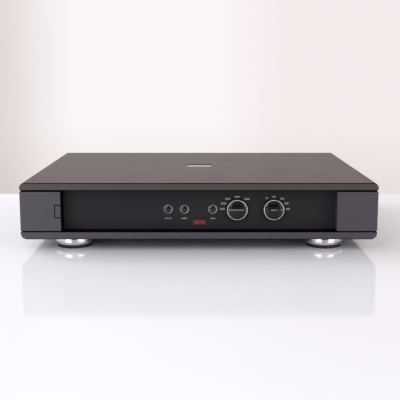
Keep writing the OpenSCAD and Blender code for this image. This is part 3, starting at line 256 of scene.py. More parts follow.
def moulded_rubber(name, colour):
    """Nitrile or chloroprene rubber from a blasted mould: matt, with a faint bloom that greys it."""
    return finish(name, colour, (0.62, 0.78), speckle(12), 0.15, speckle(0.5, 4.0), 0.02,
                  Specular_IOR_Level=0.35)


def powder_coat(name, colour):
    """Fine-texture powder coat: small rounded grains that break up the gloss."""
    grains = speckle(0.6, 2.0)
    return finish(name, colour, (0.42, 0.6), grains, 0.1, grains, 0.03)


def machined_brass(name, colour, rough=0.22):
    """Plated or bare brass off the lathe: warm, with fine tool lines."""
    return finish(name, colour, (rough - 0.06, rough + 0.08), speckle(0.4), 0.07, Metallic=1.0)


def screen_ink(name, colour):
    """Screen-printed ink: flat and even, with slightly thin spots."""
    return finish(name, colour, (0.4, 0.55), speckle(0.3, 2.0), 0.05)


def lit_diffuser(name, colour, glow):
    """Frosted acrylic with a lamp behind it: glows evenly under a dull skin."""
    return finish(name, colour, (0.3, 0.5), speckle(0.5, 2.0), 0.08, Emission_Color=(*colour, 1),
                  Emission_Strength=glow)


def circuit_laminate(name, colour):
    """Glass-epoxy board under solder mask: gloss over the faint bands of the weave."""
    # Real threads are under 1 mm apart, too fine to show, so the bands are drawn far coarser.
    # At scale 1 the wave texture repeats every pi / 10.
    band_mm, wave_period = 12.566, pi / 10

    def threads(tree, place):
        weave = {"Vector": place, "Scale": wave_period / (band_mm * MM), "Distortion": 0.5}
        return add(tree, "TexWave", weave).outputs["Fac"]
    return finish(name, colour, (0.25, 0.4), threads, 0.1, Coat_Weight=0.3)


def taped_winding(name, colour):
    """Polyester tape wound over copper: overlapping turns with a soft gloss."""
    turns = speckle(5, 2.0, (1, 1, 0.05))
    return finish(name, colour, (0.25, 0.45), turns, 0.2, turns, 0.2, Coat_Weight=0.4)


def clear_glass(name, colour):
    """Drawn glass tube: clear, with a faint waviness along the draw."""
    return finish(name, colour, (0.02, 0.06), speckle(3, 2.0), 0.02, Transmission_Weight=0.9, IOR=1.5)


def lacquered_table(name, colour):
    """White lacquered board: smooth enough to mirror what stands near it."""
    return finish(name, colour, (0.05, 0.08), speckle(120, 2.0), 0.01, IOR=1.55)


# ---------------------------------------------------------------- modelling

def colours():
    """The colours that a user can change."""
    return bpy.context.scene.preamp_colours


def sizes():
    """The lengths that a user can change, in metres."""
    return bpy.context.scene.preamp_sizes


def rgb(value):
    """A colour property as plain numbers."""
    return tuple(value[:3])


def painted_shade_finish():
    """Painted shade: dull black put where shade falls, inside the gaps and on the cut edges, so that the
    joint lines read dark.
    """
    return dyed_aluminium("painted_shade_black", rgb(colours().gap), 0.7, 0.05)


def legend_ink():
    """Pale ink of every printed mark."""
    return screen_ink("screen_ink_pale", rgb(colours().legend))


def gold_plate():
    """Gold plate over turned brass, on the phono shells and the earth post."""
    return machined_brass("gold_plate_shell", linear("#d6ac57"), 0.18)


def black_abs():
    """Black moulded ABS of the housings and switches."""
    return moulded_plastic("moulded_abs_black", linear("#1d1c1f"))


def small_zinc():
    """Bright zinc plate of the small steel pieces."""
    return plated_steel("zinc_plate_small", linear("#b9b8b4"))


def pick(*pieces):
    """Leaves only these pieces selected, the last one active."""
    bpy.ops.object.select_all(action="DESELECT")
    for piece in pieces:
        piece.select_set(True)
        bpy.context.view_layer.objects.active = piece


def in_edit(piece, *steps):
    """Runs edit-mode steps on a piece with all of it selected."""
    pick(piece)
    bpy.ops.object.mode_set(mode="EDIT")
    bpy.ops.mesh.select_all(action="SELECT")
    for step in steps:
        step()
    bpy.ops.object.mode_set(mode="OBJECT")


def settle(piece):
    """Puts the piece's place into its mesh."""
    pick(piece)
    bpy.ops.object.transform_apply(location=True, rotation=True, scale=True)


def clean(piece):
    """Merges doubles, turns the faces outwards and smooths all but the sharp edges."""
    in_edit(piece,
            lambda: bpy.ops.mesh.remove_doubles(threshold=0.002 * MM),
            lambda: bpy.ops.mesh.normals_make_consistent(inside=False))
    bpy.ops.object.shade_smooth_by_angle(angle=radians(30))


def dress(piece, body, *materials, replaces=(), slot=None):
    """Gives a finished piece its materials and the body it rides on, and hides the nodes that it replaces."""
    piece.data.materials.clear()
    for material in materials:
        piece.data.materials.append(material)
    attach(piece, body)
    if replaces:
        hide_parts(*replaces)


def paint_where(piece, index, test):
    """Gives the faces that pass a test of centre and normal another of the piece's materials."""
    for face in piece.data.polygons:
        if test(face.center, face.normal):
            face.material_index = index


def is_chamfer(centre, normal):
    """True of the faces cut at 45 degrees along the front and back edges of the case."""
    return abs(normal.y) > 0.25 and abs(normal.z) > 0.25 and abs(centre.y) > CUTS_FROM * MM


def off_axis(place, x, z):
    """Distance of a place from an axis along Y, in millimetres."""
    return Vector((place.x / MM - x, place.z / MM - z)).length


def refined(node, name, edge, longest=4.0, sharp=35):
    """A copy of a node's solid whose sharp edges, where longer than a few millimetres, are rounded."""
    piece = bpy.data.objects.new(name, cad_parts[node].data.copy())
    bpy.context.collection.objects.link(piece)
    in_edit(piece,
            lambda: bpy.ops.mesh.remove_doubles(threshold=0.002 * MM),
            lambda: bpy.ops.mesh.dissolve_limited(angle_limit=radians(0.3)),
            lambda: round_edges(piece, edge, longest, sharp))
    bpy.ops.object.shade_smooth_by_angle(angle=radians(30))
    weigh = piece.modifiers.new("flat_faces", "WEIGHTED_NORMAL")
    weigh.keep_sharp = True
    bpy.ops.object.modifier_apply(modifier=weigh.name)
    return piece


def round_edges(piece, edge, longest, sharp):
    """Bevels the edges longer than longest and sharper than sharp degrees, in edit mode."""
    bpy.ops.mesh.select_mode(type="EDGE")
    bpy.ops.mesh.select_all(action="DESELECT")
    shape = bmesh.from_edit_mesh(piece.data)
    for line in shape.edges:
        if line.is_manifold and line.calc_length() > longest * MM and line.calc_face_angle() > radians(sharp):
            line.select = True
    shape.select_flush(True)
    bmesh.update_edit_mesh(piece.data)
    bpy.ops.mesh.bevel(offset=edge, segments=2, profile=0.5, clamp_overlap=True)


def turned(name, centre, profile, axis="Y", ring=False, vertices=96):
    """Turns a profile of (radius, place along the axis) in millimetres.

    A circle is extruded and scaled in steps. A ring's profile closes on itself.
    """
    along = Vector((0, 1, 0)) if axis == "Y" else Vector((0, 0, 1))
    middle = Vector(centre) * MM
    middle -= along * middle.dot(along)
    radius, height = profile[0]
    pick()
    bpy.ops.mesh.primitive_circle_add(vertices=vertices, radius=radius * MM,
                                      fill_type="NOTHING" if ring else "NGON",
                                      location=middle + along * height * MM,
                                      rotation=(-pi / 2, 0, 0) if axis == "Y" else (0, 0, 0))
    piece = bpy.context.object
    piece.name = name
    settle(piece)

    def grow():
        last_radius, last_height = profile[0]
        for next_radius, next_height in profile[1:] + (profile[:1] if ring else []):
            step = along * (next_height - last_height) * MM
            bpy.ops.mesh.extrude_region_move(TRANSFORM_OT_translate={"value": step})
            scale = next_radius / last_radius
            bpy.ops.transform.resize(value=(scale, scale, scale),
                                     center_override=middle + along * next_height * MM)
            last_radius, last_height = next_radius, next_height

    in_edit(piece, grow)
    clean(piece)
    return piece


def crown(radius, edge, ball, steps):
    """Profile points of a domed face that rises towards -Y from its edge, as part of a ball."""
    rise = ball - sqrt(ball ** 2 - radius ** 2)
    smallest = 0.3
    points = []
    for i in range(1, steps + 1):
        r = radius + (smallest - radius) * i / steps
        points.append((r, edge - rise + ball - sqrt(ball ** 2 - r ** 2)))
    return points


def brick(name, low, high, edge):
    """A block between two corners, with rounded edges, all in millimetres."""
    pick()
    middle = [(a + b) / 2 * MM for a, b in zip(low, high)]
    bpy.ops.mesh.primitive_cube_add(size=1, location=middle)
    piece = bpy.context.object
    piece.name = name
    piece.scale = [(b - a) * MM for a, b in zip(low, high)]
    settle(piece)
    in_edit(piece, lambda: bpy.ops.mesh.bevel(offset=edge * MM, segments=2, affect="EDGES"))
    clean(piece)
    return piece


def repeated(piece, places):
    """The piece, modelled at the first of the places, and a copy with its own mesh at each other one."""
    pieces = [piece]
    for place in places[1:]:
        pick(piece)
        bpy.ops.object.duplicate()
        twin = bpy.context.object
        twin.location = (Vector(place) - Vector(places[0])) * MM
        settle(twin)
        pieces.append(twin)
    return pieces


def join(name, pieces):
    """Joins like pieces into one."""
    pick(*pieces)
    if len(pieces) > 1:
        bpy.ops.object.join()
    piece = bpy.context.object
    piece.name = name
    piece.data.name = name
    return piece


def node_mm(node):
    """Lowest and highest corners of a node, in millimetres."""
    low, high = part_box(node)
    return Vector(low) / MM, Vector(high) / MM


def axis_of(node):
    """Place across and height of a node's middle, in millimetres."""
    low, high = node_mm(node)
    return (low.x + high.x) / 2, (low.z + high.z) / 2


def printed(name, text, x, z, height, y, align="CENTER"):
    """Text printed on a face that looks towards -Y, made a mesh as thick as its ink."""
    pick()
    bpy.ops.object.text_add(location=(x * MM, y * MM, z * MM), rotation=(pi / 2, 0, 0))
    words = bpy.context.object
    words.data.body = text
    words.data.size = height * FONT_SCALE
    words.data.align_x = align
    words.data.align_y = "CENTER"
    words.data.extrude = sizes().ink / 2
    words.data.offset = sizes().bold
    words.data.resolution_u = 4
    words.name = name
    bpy.ops.object.convert(target="MESH")
    piece = bpy.context.object
    settle(piece)
    clean(piece)
    return piece


def bar_print(name, low, high, y):
    """A printed rectangle on a face that looks towards -Y: a plane extruded by the ink's height."""
    pick()
    middle = ((low[0] + high[0]) / 2 * MM, y * MM, (low[1] + high[1]) / 2 * MM)
    bpy.ops.mesh.primitive_plane_add(size=1, location=middle, rotation=(pi / 2, 0, 0))
    piece = bpy.context.object
    piece.name = name
    piece.scale = ((high[0] - low[0]) * MM, (high[1] - low[1]) * MM, 1)
    settle(piece)
    step = Vector((0, -sizes().ink, 0))
    in_edit(piece, lambda: bpy.ops.mesh.extrude_region_move(TRANSFORM_OT_translate={"value": step}))
    clean(piece)
    return piece


def coat_node(node, material):
    """Gives a node that keeps its own shape its material."""
    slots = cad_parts[node].data.materials
    slots.clear()
    slots.append(material)
    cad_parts[node].material_slots[0].material = material


# ---------------------------------------------------------------- pieces

class PieceOperator:
    """What every operator of this add-on shares."""
    bl_options = {"REGISTER", "UNDO"}


class PREAMP_OT_cover(PieceOperator, bpy.types.Operator):
    """Top cover with its recess, and the plate let into it"""
    bl_idname = "preamp.cover"
    bl_label = "Cover"

    def execute(self, context):
        metal = dyed_aluminium("dyed_aluminium_cover", rgb(colours().cover), 0.38, 0.48)
        cover = refined("lid", "cover", sizes().edge, sharp=50)
        dress(cover, "case", metal, painted_shade_finish(), replaces=("lid",), slot="cover_aluminium")
        # Painted shade: the 45 degree cuts of the front and back edges are painted black, a dark line along
        # each edge
        paint_where(cover, 1, is_chamfer)
        plate = refined("lid_badge", "cover_plate", sizes().fine_edge)
        dress(plate, "case", brushed_aluminium("brushed_aluminium_plate", rgb(colours().plate)),
              replaces=("lid_badge",), slot="badge_aluminium")
        return {"FINISHED"}


class PREAMP_OT_case(PieceOperator, bpy.types.Operator):
    """Tray base and the two side castings"""
    bl_idname = "preamp.case"
    bl_label = "Base and castings"

    def execute(self, context):
        metal = dyed_aluminium("dyed_aluminium_case", rgb(colours().case))
        rim = node_mm("base")[1].z
        roof = node_mm("lid")[0].z

        # Painted shade: the tray's cut edges and its upward faces at the rim, in the recess and under the
        # castings, are painted black
        def tray_painted_shade(centre, normal):
            return is_chamfer(centre, normal) or (normal.z > 0.9 and centre.z > (rim - 0.1) * MM)

        # Painted shade: the castings' faces inside the gaps under the cover and over the tray, and in the
        # notch round the power button, are painted black
        def casting_painted_shade(centre, normal):
            return (centre.z > (roof - TOP_LIP) * MM or centre.z < (rim + BOTTOM_LIP) * MM
                    or self.in_notch(centre))

        for node, name, in_painted_shade in (("base", "tray_base", tray_painted_shade),
                                   ("left_side_casting", "left_casting", casting_painted_shade),
                                   ("right_side_casting", "right_casting", casting_painted_shade)):
            piece = refined(node, name, sizes().edge, sharp=50)
            dress(piece, "case", metal, painted_shade_finish(), replaces=(node,), slot="case_aluminium")
            paint_where(piece, 1, in_painted_shade)
        return {"FINISHED"}

    def in_notch(self, centre):
        """True of the places deeper than the face of the cheek in the notch round the power button."""
        low, high = node_mm("power_button")
        at = centre / MM
        return (low.x - NOTCH_GAP < at.x < high.x + NOTCH_GAP
                and low.z - NOTCH_GAP < at.z < high.z + NOTCH_GAP and at.y > low.y + 0.5)


class PREAMP_OT_panel(PieceOperator, bpy.types.Operator):
    """Satin front panel and the lit window"""
    bl_idname = "preamp.panel"
    bl_label = "Front panel"

    def execute(self, context):
        panel = refined("front_panel", "gloss_panel", sizes().fine_edge)
        dress(panel, "case", gloss_acrylic("satin_acrylic_panel", rgb(colours().panel), 0.35, 0.1),
              replaces=("front_panel",), slot="panel_acrylic")
        lens = refined("indicator_lens", "window_lens", sizes().fine_edge)
        smoke = lit_diffuser("smoked_acrylic_window", linear("#26141a"), 0.3)
        dress(lens, "case", smoke, replaces=("indicator_lens",), slot="lens_red")
        self.make_digits("1000")
        return {"FINISHED"}

    def make_digits(self, number):
        """Lit digits in the window: a nought is four bars, a one is the right-hand bar alone."""
        low, high = node_mm("indicator_lens")
        middle = (low.z + high.z) / 2
        margin, bar = 0.3, 0.45
        pitch = (high.x - low.x - 2 * margin) / len(number)
        wide, tall = pitch * 0.55, (high.z - low.z) * 0.8
        reach = (wide - bar) / 2
        strokes = []
        for i, sign in enumerate(number):
            nought = sign == "0"
            x = low.x + margin + pitch * (i + 0.5)
            half = 0.25 if nought else 0.4
            for side in (-1, 1) if nought else (1,):
                edge = x + side * wide / 2
                strokes.append(bar_print("lit_stroke", (edge - half, middle - tall / 2),
                                         (edge + half, middle + tall / 2), low.y))
            for side in (-1, 1) if nought else ():
                edge = middle + side * (tall - bar) / 2
                strokes.append(bar_print("lit_stroke", (x - reach, edge - bar / 2),
                                         (x + reach, edge + bar / 2), low.y))
        light = lit_diffuser("lit_acrylic_digits", rgb(colours().lit), 0.95)
        dress(join("lit_digits", strokes), "case", light, slot="lens_red")


class PREAMP_OT_legends(PieceOperator, bpy.types.Operator):
    """Printed numbers round the knobs and marks under the buttons"""
    bl_idname = "preamp.legends"
    bl_label = "Printed marks"

    def execute(self, context):
        self.face = node_mm("front_panel")[0].y
        prints = self.dial("capacitance_knob", (180, 153, 124, 90, 56),
                           ("1000", "2000", "3000", "4000", "5000"))
        prints += self.dial("load_knob", (117, 90, 58, 27, 0), ("50", "100", "200", "300", "400"))
        for node, number, reach in (("mono_button", "1", 4.1), ("mute_button", "2", 3.4),
                                    ("input_button", "3", 3.1)):
            prints += self.mark(node, number, reach)
        dress(join("panel_print", prints), "case", legend_ink())
        return {"FINISHED"}

    def dial(self, knob, angles, words):
        """Numbers on an arc round a knob, at angles in degrees from the right."""
        x, z = axis_of(knob)
        gap = sizes().scale_gap / MM
        lift = gap + 0.3
        made = []
        for angle, word in zip(angles, words):
            a = radians(angle)
            side = "CENTER" if abs(cos(a)) < 0.3 else ("LEFT" if cos(a) > 0 else "RIGHT")
            made.append(printed("dial_number", word, x + gap * cos(a), z + lift * sin(a),
                                sizes().scale_text, self.face, side))
        return made

    def mark(self, button, number, reach):
        """A number between two dashes, under a button."""
        x, z = axis_of(button)
        z -= sizes().mark_drop / MM
        start, half = 1.1, 0.33
        made = [printed("button_mark", number, x, z, sizes().button_text, self.face)]
        for side in (-1, 1):
            ends = sorted((x + side * start, x + side * reach))
            made.append(bar_print("button_dash", (ends[0], z - half), (ends[1], z + half), self.face))
        return made


class PREAMP_OT_power_button(PieceOperator, bpy.types.Operator):
    """Rectangular power button in the left cheek"""
    bl_idname = "preamp.power_button"
    bl_label = "Power button"

    def execute(self, context):
        button = refined("power_button", "power_key_cap", sizes().edge)
        dress(button, "power_key", dyed_aluminium("dyed_aluminium_button", rgb(colours().button)),
              painted_shade_finish(), replaces=("power_button",), slot="button_satin")
        # Painted shade: the button's sides and back, which sit in the notch, are painted black
        paint_where(button, 1, lambda c, n: n.y > -0.3)
        return {"FINISHED"}


class PREAMP_OT_round_buttons(PieceOperator, bpy.types.Operator):
    """Three round buttons with crowned caps, and the bright rings round them"""
    bl_idname = "preamp.round_buttons"
    bl_label = "Round buttons"

    def execute(self, context):
        black = gloss_acrylic("gloss_abs_cap", linear("#121114"), 0.1, 0.5)
        keys = {"mono_button": "mono_key", "mute_button": "mute_key", "input_button": "input_key"}
        places = [(x, 0, z) for x, z in map(axis_of, keys)]
        low, high = node_mm("mono_button")
        # Radii of the skirt behind the panel and of the cap, and the caps' front
        skirt, front = (high.x - low.x) / 2, low.y
        cap = skirt - 0.95
        profile = [(2.0, high.y), (2.0, front + 9.5), (skirt, front + 9.4), (skirt, front + 8.2),
                   (cap, front + 8.2), (cap, front + 1.1), (cap - 0.12, front + 0.85)]
        profile += crown(cap - 0.3, front + 0.72, CAP_BALL, 10)
        caps = repeated(turned("button_cap", places[0], profile, vertices=64), places)
        for node, button in zip(keys, caps):
            button.name = node + "_cap"
            dress(button, keys[node], black, replaces=(node,), slot="cap_gloss")
        reach = low.x - node_mm("button_bezels")[0].x
        rings = repeated(self.ring(places[0], cap + 0.05, skirt + reach - 0.2), places)
        chrome = bright_plate("chrome_plate_rings", rgb(colours().ring), 0.35)
        dress(join("bright_rings", rings), "case", chrome, replaces=("button_bezels",), slot="bezel_chrome")
        return {"FINISHED"}

    def ring(self, place, inner, outer):
        """Ring with a rounded lip that stands on the panel, and its tube through it."""
        face = node_mm("front_panel")[0].y
        tube = inner + 0.5
        profile = [(inner, face + 6), (inner, face - 0.95), (inner + 0.12, face - 1.15),
                   (inner + 0.35, face - 1.2), (outer - 0.2, face - 1.1), (outer - 0.05, face - 0.9),
                   (outer, face - 0.6), (outer, face), (tube, face), (tube, face + 6)]
        return turned("bright_ring", place, profile, ring=True, vertices=64)


class PREAMP_OT_knobs(PieceOperator, bpy.types.Operator):
    """Two selector knobs: dyed sides, a bright cut edge and a crowned gloss face with printed marks"""
    bl_idname = "preamp.knobs"
    bl_label = "Knobs"

    def execute(self, context):
        side = dyed_aluminium("dyed_aluminium_knob", rgb(colours().knob), 0.3)
        edge = bright_plate("cut_aluminium_edge", linear("#fbfcfd"), 0.34)
        face = gloss_acrylic("gloss_lacquer_face", rgb(colours().knob), 0.06, 0.3)
        dials = (("capacitance_knob", "capacitance_dial", 12, 180), ("load_knob", "load_dial", 6, 0))
        places = [(x, 0, z) for x, z in (axis_of(dial[0]) for dial in dials)]
        low, high = node_mm("capacitance_knob")
        r = (high.x - low.x) / 2
        front = high.y - KNOB_DEPTH
        # Outer and inner radius of the bright edge
        outer = r - 0.35
        inner = outer - 0.68
        profile = [(r - 0.4, high.y), (r, high.y - 0.4), (r, front + 0.5), (outer, front + 0.15),
                   (outer - 0.15, front), (inner, front + 0.08), (inner - 0.05, front - 0.15)]
        profile += crown(inner - 0.05, front - 0.15, CROWN_BALL, 14)
        knobs = repeated(turned("knob_body", places[0], profile, vertices=128), places)
        for (node, body, marks, pointer), (x, _, z), knob in zip(dials, places, knobs):
            knob.name = node + "_body"
            dress(knob, body, side, edge, face, replaces=(node,), slot="knob_black")
            paint_where(knob, 1, lambda c, n: c.y < (front + 0.14) * MM and n.y < -0.3)
            paint_where(knob, 2, lambda c, n: c.y < (front - 0.01) * MM and off_axis(c, x, z) < inner - 0.01)
            self.face_marks(node, body, inner, front, marks, pointer)
        return {"FINISHED"}

    def face_marks(self, node, body, inner, front, marks, pointer):
        """A short scale of ticks across the face and a pointer line near its edge, laid on the crown."""
        x, axis_z = axis_of(node)
        z = axis_z + 0.3
        pitch, half = 1.25, 0.25
        made = []
        for i in range(marks):
            tick_x = x + (i - (marks - 1) / 2) * pitch
            tall = 1.4 if i % 3 == 0 else 0.9
            made.append(bar_print("face_tick", (tick_x - half, z - tall / 2),
                                  (tick_x + half, z + tall / 2), 0))
        tip = x + cos(radians(pointer)) * (inner - 2.2)
        made.append(bar_print("face_pointer", (tip - 0.3, z - 0.9), (tip + 0.3, z + 0.9), 0))
        piece = join(node + "_marks", made)
        top = front - 0.15 + sqrt(CROWN_BALL ** 2 - inner ** 2)
        for corner in piece.data.vertices:
            out = off_axis(corner.co, x, axis_z)
            corner.co.y += (top - sqrt(CROWN_BALL ** 2 - out ** 2)) * MM
        dress(piece, body, legend_ink())


class PREAMP_OT_feet(PieceOperator, bpy.types.Operator):
    """Four turned feet and the rubber pads in them"""
    bl_idname = "preamp.feet"
    bl_label = "Feet"

    def execute(self, context):
        metal = turned_aluminium("turned_aluminium_foot", rgb(colours().foot))
        rubber = moulded_rubber("nitrile_rubber_pad", rgb(colours().pad))
        nodes = ("foot_front_left", "foot_front_right", "foot_rear_left", "foot_rear_right")
        boxes = [node_mm(node) for node in nodes]
        places = [((low.x + high.x) / 2, (low.y + high.y) / 2, 0) for low, high in boxes]
        low, high = boxes[0]
        pad_r = places[0][0] - node_mm("foot_pads")[0].x
        profile = self.foot_profile((high.x - low.x) / 2, low.z, high.z, pad_r)
        feet = repeated(turned("turned_foot", places[0], profile, axis="Z", vertices=128), places)
        for node, foot in zip(nodes, feet):
            foot.name = node.replace("foot", "turned_foot")
            dress(foot, "case", metal, replaces=(node,), slot="foot_aluminium")
        profile = [(pad_r, low.z + 1.9), (pad_r, 0.5), (pad_r - 0.1, 0.2), (pad_r - 0.3, 0.05),
                   (pad_r - 0.5, 0), (16.5, 0), (16.2, 0.3), (12.0, 0.3), (11.7, 0)]
        pads = repeated(turned("rubber_pad", places[0], profile, axis="Z", vertices=96), places)
        dress(join("rubber_pads", pads), "case", rubber, replaces=("foot_pads",), slot="pad_rubber")
        return {"FINISHED"}

    def foot_profile(self, r, bottom, top, pad_r):
        """Side of a foot: soft upper edge, a turned groove, a fine line, a taper and the seat of its pad."""
        groove, line, taper = bottom + 5.6, bottom + 3.9, bottom + 3.5
        # The metal's lower edge and the wall of the seat
        edge, seat = bottom + 0.6, pad_r + 0.1
        points = [(r - 0.8, top), (r - 0.25, top - 0.25), (r, top - 0.8)]
        for z, half, deep in ((groove, 0.2, 0.5), (line, 0.08, 0.2)):
            points += [(r, z + half + 0.2), (r - 0.1, z + half + 0.05), (r - deep, z + half),
                       (r - deep, z - half), (r - 0.1, z - half - 0.05), (r, z - half - 0.2)]
        points += [(r - 0.05, taper - 0.2), (r - 1.5, edge + 0.3), (r - 1.75, edge), (seat, edge),
                   (seat, bottom + 2)]
        return points


class PREAMP_OT_back(PieceOperator, bpy.types.Operator):
    """Back panel with its phono sockets, three-pin sockets, mains inlet and earth post"""
    bl_idname = "preamp.back"
    bl_label = "Back"

    def execute(self, context):
        panel = refined("rear_panel", "back_panel", sizes().fine_edge)
        dress(panel, "case", powder_coat("powder_coat_back", linear("#2b292d")), replaces=("rear_panel",),
              slot="back_paint")
        self.phono("input_jacks")
        self.phono("output_jacks")
        self.three_pin("balanced_inputs", False)
        self.three_pin("balanced_outputs", True)
        self.inlet()
        self.earth()
        return {"FINISHED"}

    def phono(self, node):
        """Phono sockets: black housing, plated bush and shell, and a coloured insulator in the shell."""
        low, high = node_mm(node)
        tip, half, deep = high.y, HOUSING_HALF, 17
        places = [(x, 0, SOCKET_AXIS) for x in (high.x - half, low.x + half)]
        housing = brick("housing", (high.x - 2 * half, low.y, low.z), (high.x, low.y + deep, high.z), 0.4)
        profile = [(2.6, tip - 9), (2.6, tip - 0.35), (2.75, tip - 0.1), (3.9, tip), (4.15, tip - 0.25),
                   (4.15, tip - 8.6), (4.4, tip - 8.7), (5.3, tip - 9.0), (5.5, tip - 9.2),
                   (5.5, tip - 13.4), (2.6, tip - 13.4)]
        shell = turned("shell", places[0], profile, ring=True, vertices=48)
        profile = [(1.65, tip - 8), (1.65, tip - 0.6), (1.9, tip - 0.4), (2.55, tip - 0.4), (2.55, tip - 8)]
        insulators = repeated(turned("insulator", places[0], profile, ring=True, vertices=48), places)
        for insulator, side, tint in zip(insulators, ("left", "right"), ("#c9c7c2", "#a8262c")):
            insulator.name = node + "_insulator_" + side
            dress(insulator, "case", moulded_plastic("moulded_nylon_" + side, linear(tint), 0.35))
        dress(join(node + "_shells", repeated(shell, places)), "case", gold_plate(), slot="gold_plate")
        dress(join(node + "_housings", repeated(housing, places)), "case", black_abs(), replaces=(node,))

    def three_pin(self, node, pins):
        """Three-pin sockets: cast flange and cup, dark core and plated contacts."""
        shell = refined(node, node + "_shells", 0.3 * MM, longest=6)
        nickel = dyed_aluminium("black_nickel_shell", linear("#2a2a2d"), 0.3)
        if pins:
            inner = plated_steel("silver_plate_contact", linear("#cfcdc8"), 0.2)
        else:
            inner = moulded_plastic("moulded_nylon_core", linear("#161618"))
        dress(shell, "case", nickel, inner, replaces=(node,), slot="socket_shell")
        low, high = node_mm(node)
        # Only what stands out from the floor of the cup
        floor, reach = (142.6, PIN_REACH) if pins else (142.4, CORE_REACH)
        for x in (low.x + FLANGE_HALF, high.x - FLANGE_HALF):
            axes = [(x, SOCKET_AXIS)]
            if pins:
                axes = [(x + PIN_CIRCLE * cos(a), SOCKET_AXIS + PIN_CIRCLE * sin(a))
                        for a in (-pi / 2, pi / 6, 5 * pi / 6)]
            paint_where(shell, 1, lambda c, n: c.y > floor * MM
                        and any(off_axis(c, *axis) < reach for axis in axes))

    def inlet(self):
        """Mains inlet with bright blades, and the drawer that holds the fuse."""
        body = refined("mains_inlet", "mains_inlet_body", 0.3 * MM, longest=3)
        blade = plated_steel("nickel_plate_blade", linear("#c4c2bd"), 0.22)
        dress(body, "case", moulded_plastic("moulded_nylon_inlet", linear("#1c1c1f"), 0.5), blade,
              replaces=("mains_inlet",), slot="inlet_plastic")
        middle = axis_of("mains_inlet")[0]
        # The blades stand in the mouth, one pitch apart
        deep, tip, bottom, top, pitch, half = 142.4, 154.6, 50.9, 57.1, 7, 1.05
        paint_where(body, 1, lambda c, n: deep < c.y / MM < tip and bottom < c.z / MM < top
                    and any(abs(c.x / MM - middle - step * pitch) < half for step in (-1, 0, 1)))
        drawer = refined("fuse_drawer", "fuse_drawer_tray", 0.25 * MM, longest=3)
        dress(drawer, "fuse_carrier", moulded_plastic("moulded_nylon_drawer", linear("#242427"), 0.45),
              replaces=("fuse_drawer",), slot="inlet_plastic")

    def earth(self):
        """Earth post, washer and thumb nut."""
        coat_node("ground_post", gold_plate())
        coat_node("ground_washer", small_zinc())
        nut = refined("ground_nut", "thumb_nut", 0.1 * MM, longest=3)
        dress(nut, "earth_nut", gold_plate(), replaces=("ground_nut",), slot="gold_plate")


class PREAMP_OT_inside(PieceOperator, bpy.types.Operator):
    """Finishes of the fasteners and of the pieces inside the case"""
    bl_idname = "preamp.inside"
    bl_label = "Inner pieces"

    def execute(self, context):
        zinc = plated_steel("zinc_plate_sheet", linear("#9a9c9e"))
        brass = machined_brass("bare_brass", linear("#c0a468"))
        board = circuit_laminate("circuit_laminate_green", linear("#1f5034"))
        nickel = plated_steel("nickel_plate_selector", linear("#b8b4a8"), 0.25)
        oxide = plated_steel("black_oxide_steel", linear("#2a2a2c"), 0.42)
        plan = {
            zinc: ("front_subpanel", "power_switch_bracket", "transformer_washer"),
            small_zinc(): ("foot_screws", "board_screws", "transformer_bolt"),
            oxide: ("case_bolts", "panel_screws"),
            brass: ("switch_nuts", "control_board_spacers", "board_standoffs"),
            black_abs(): ("power_switch", "tact_switches", "amplifier_chips", "regulators"),
            board: ("control_board", "main_board"),
            nickel: ("capacitance_shaft", "load_shaft", "rotary_switches"),
            moulded_plastic("moulded_nylon_rod", linear("#1b1b1d")): ("power_rod",),
            moulded_rubber("chloroprene_rubber_pad", linear("#1f1f22")): ("transformer_pads",),
            moulded_plastic("flat_cable_pvc", linear("#9a9aa0")): ("ribbon_cable",),
            moulded_plastic("film_capacitor_case", linear("#a8383a"), 0.3): ("film_capacitors",),
            moulded_plastic("capacitor_sleeve", linear("#2b3350"), 0.25): ("supply_capacitors",),
            moulded_plastic("relay_case", linear("#d8d4c8"), 0.4): ("relays",),
            dyed_aluminium("dyed_aluminium_heatsink", linear("#232326")): ("heatsink",),
            taped_winding("polyester_taped_winding", linear("#a5702e")): ("transformer",),
            moulded_plastic("silicone_wire", linear("#7a3a2a"), 0.5): ("power_wires",),
            lit_diffuser("light_module_diffuser", linear("#c0303a"), 0.5): ("indicator_leds",),
            clear_glass("fuse_glass_tube", linear("#e8ecee")): ("fuse",),
        }
        for material, nodes in plan.items():
            for node in nodes:
                coat_node(node, material)
        return {"FINISHED"}


# ---------------------------------------------------------------- stage

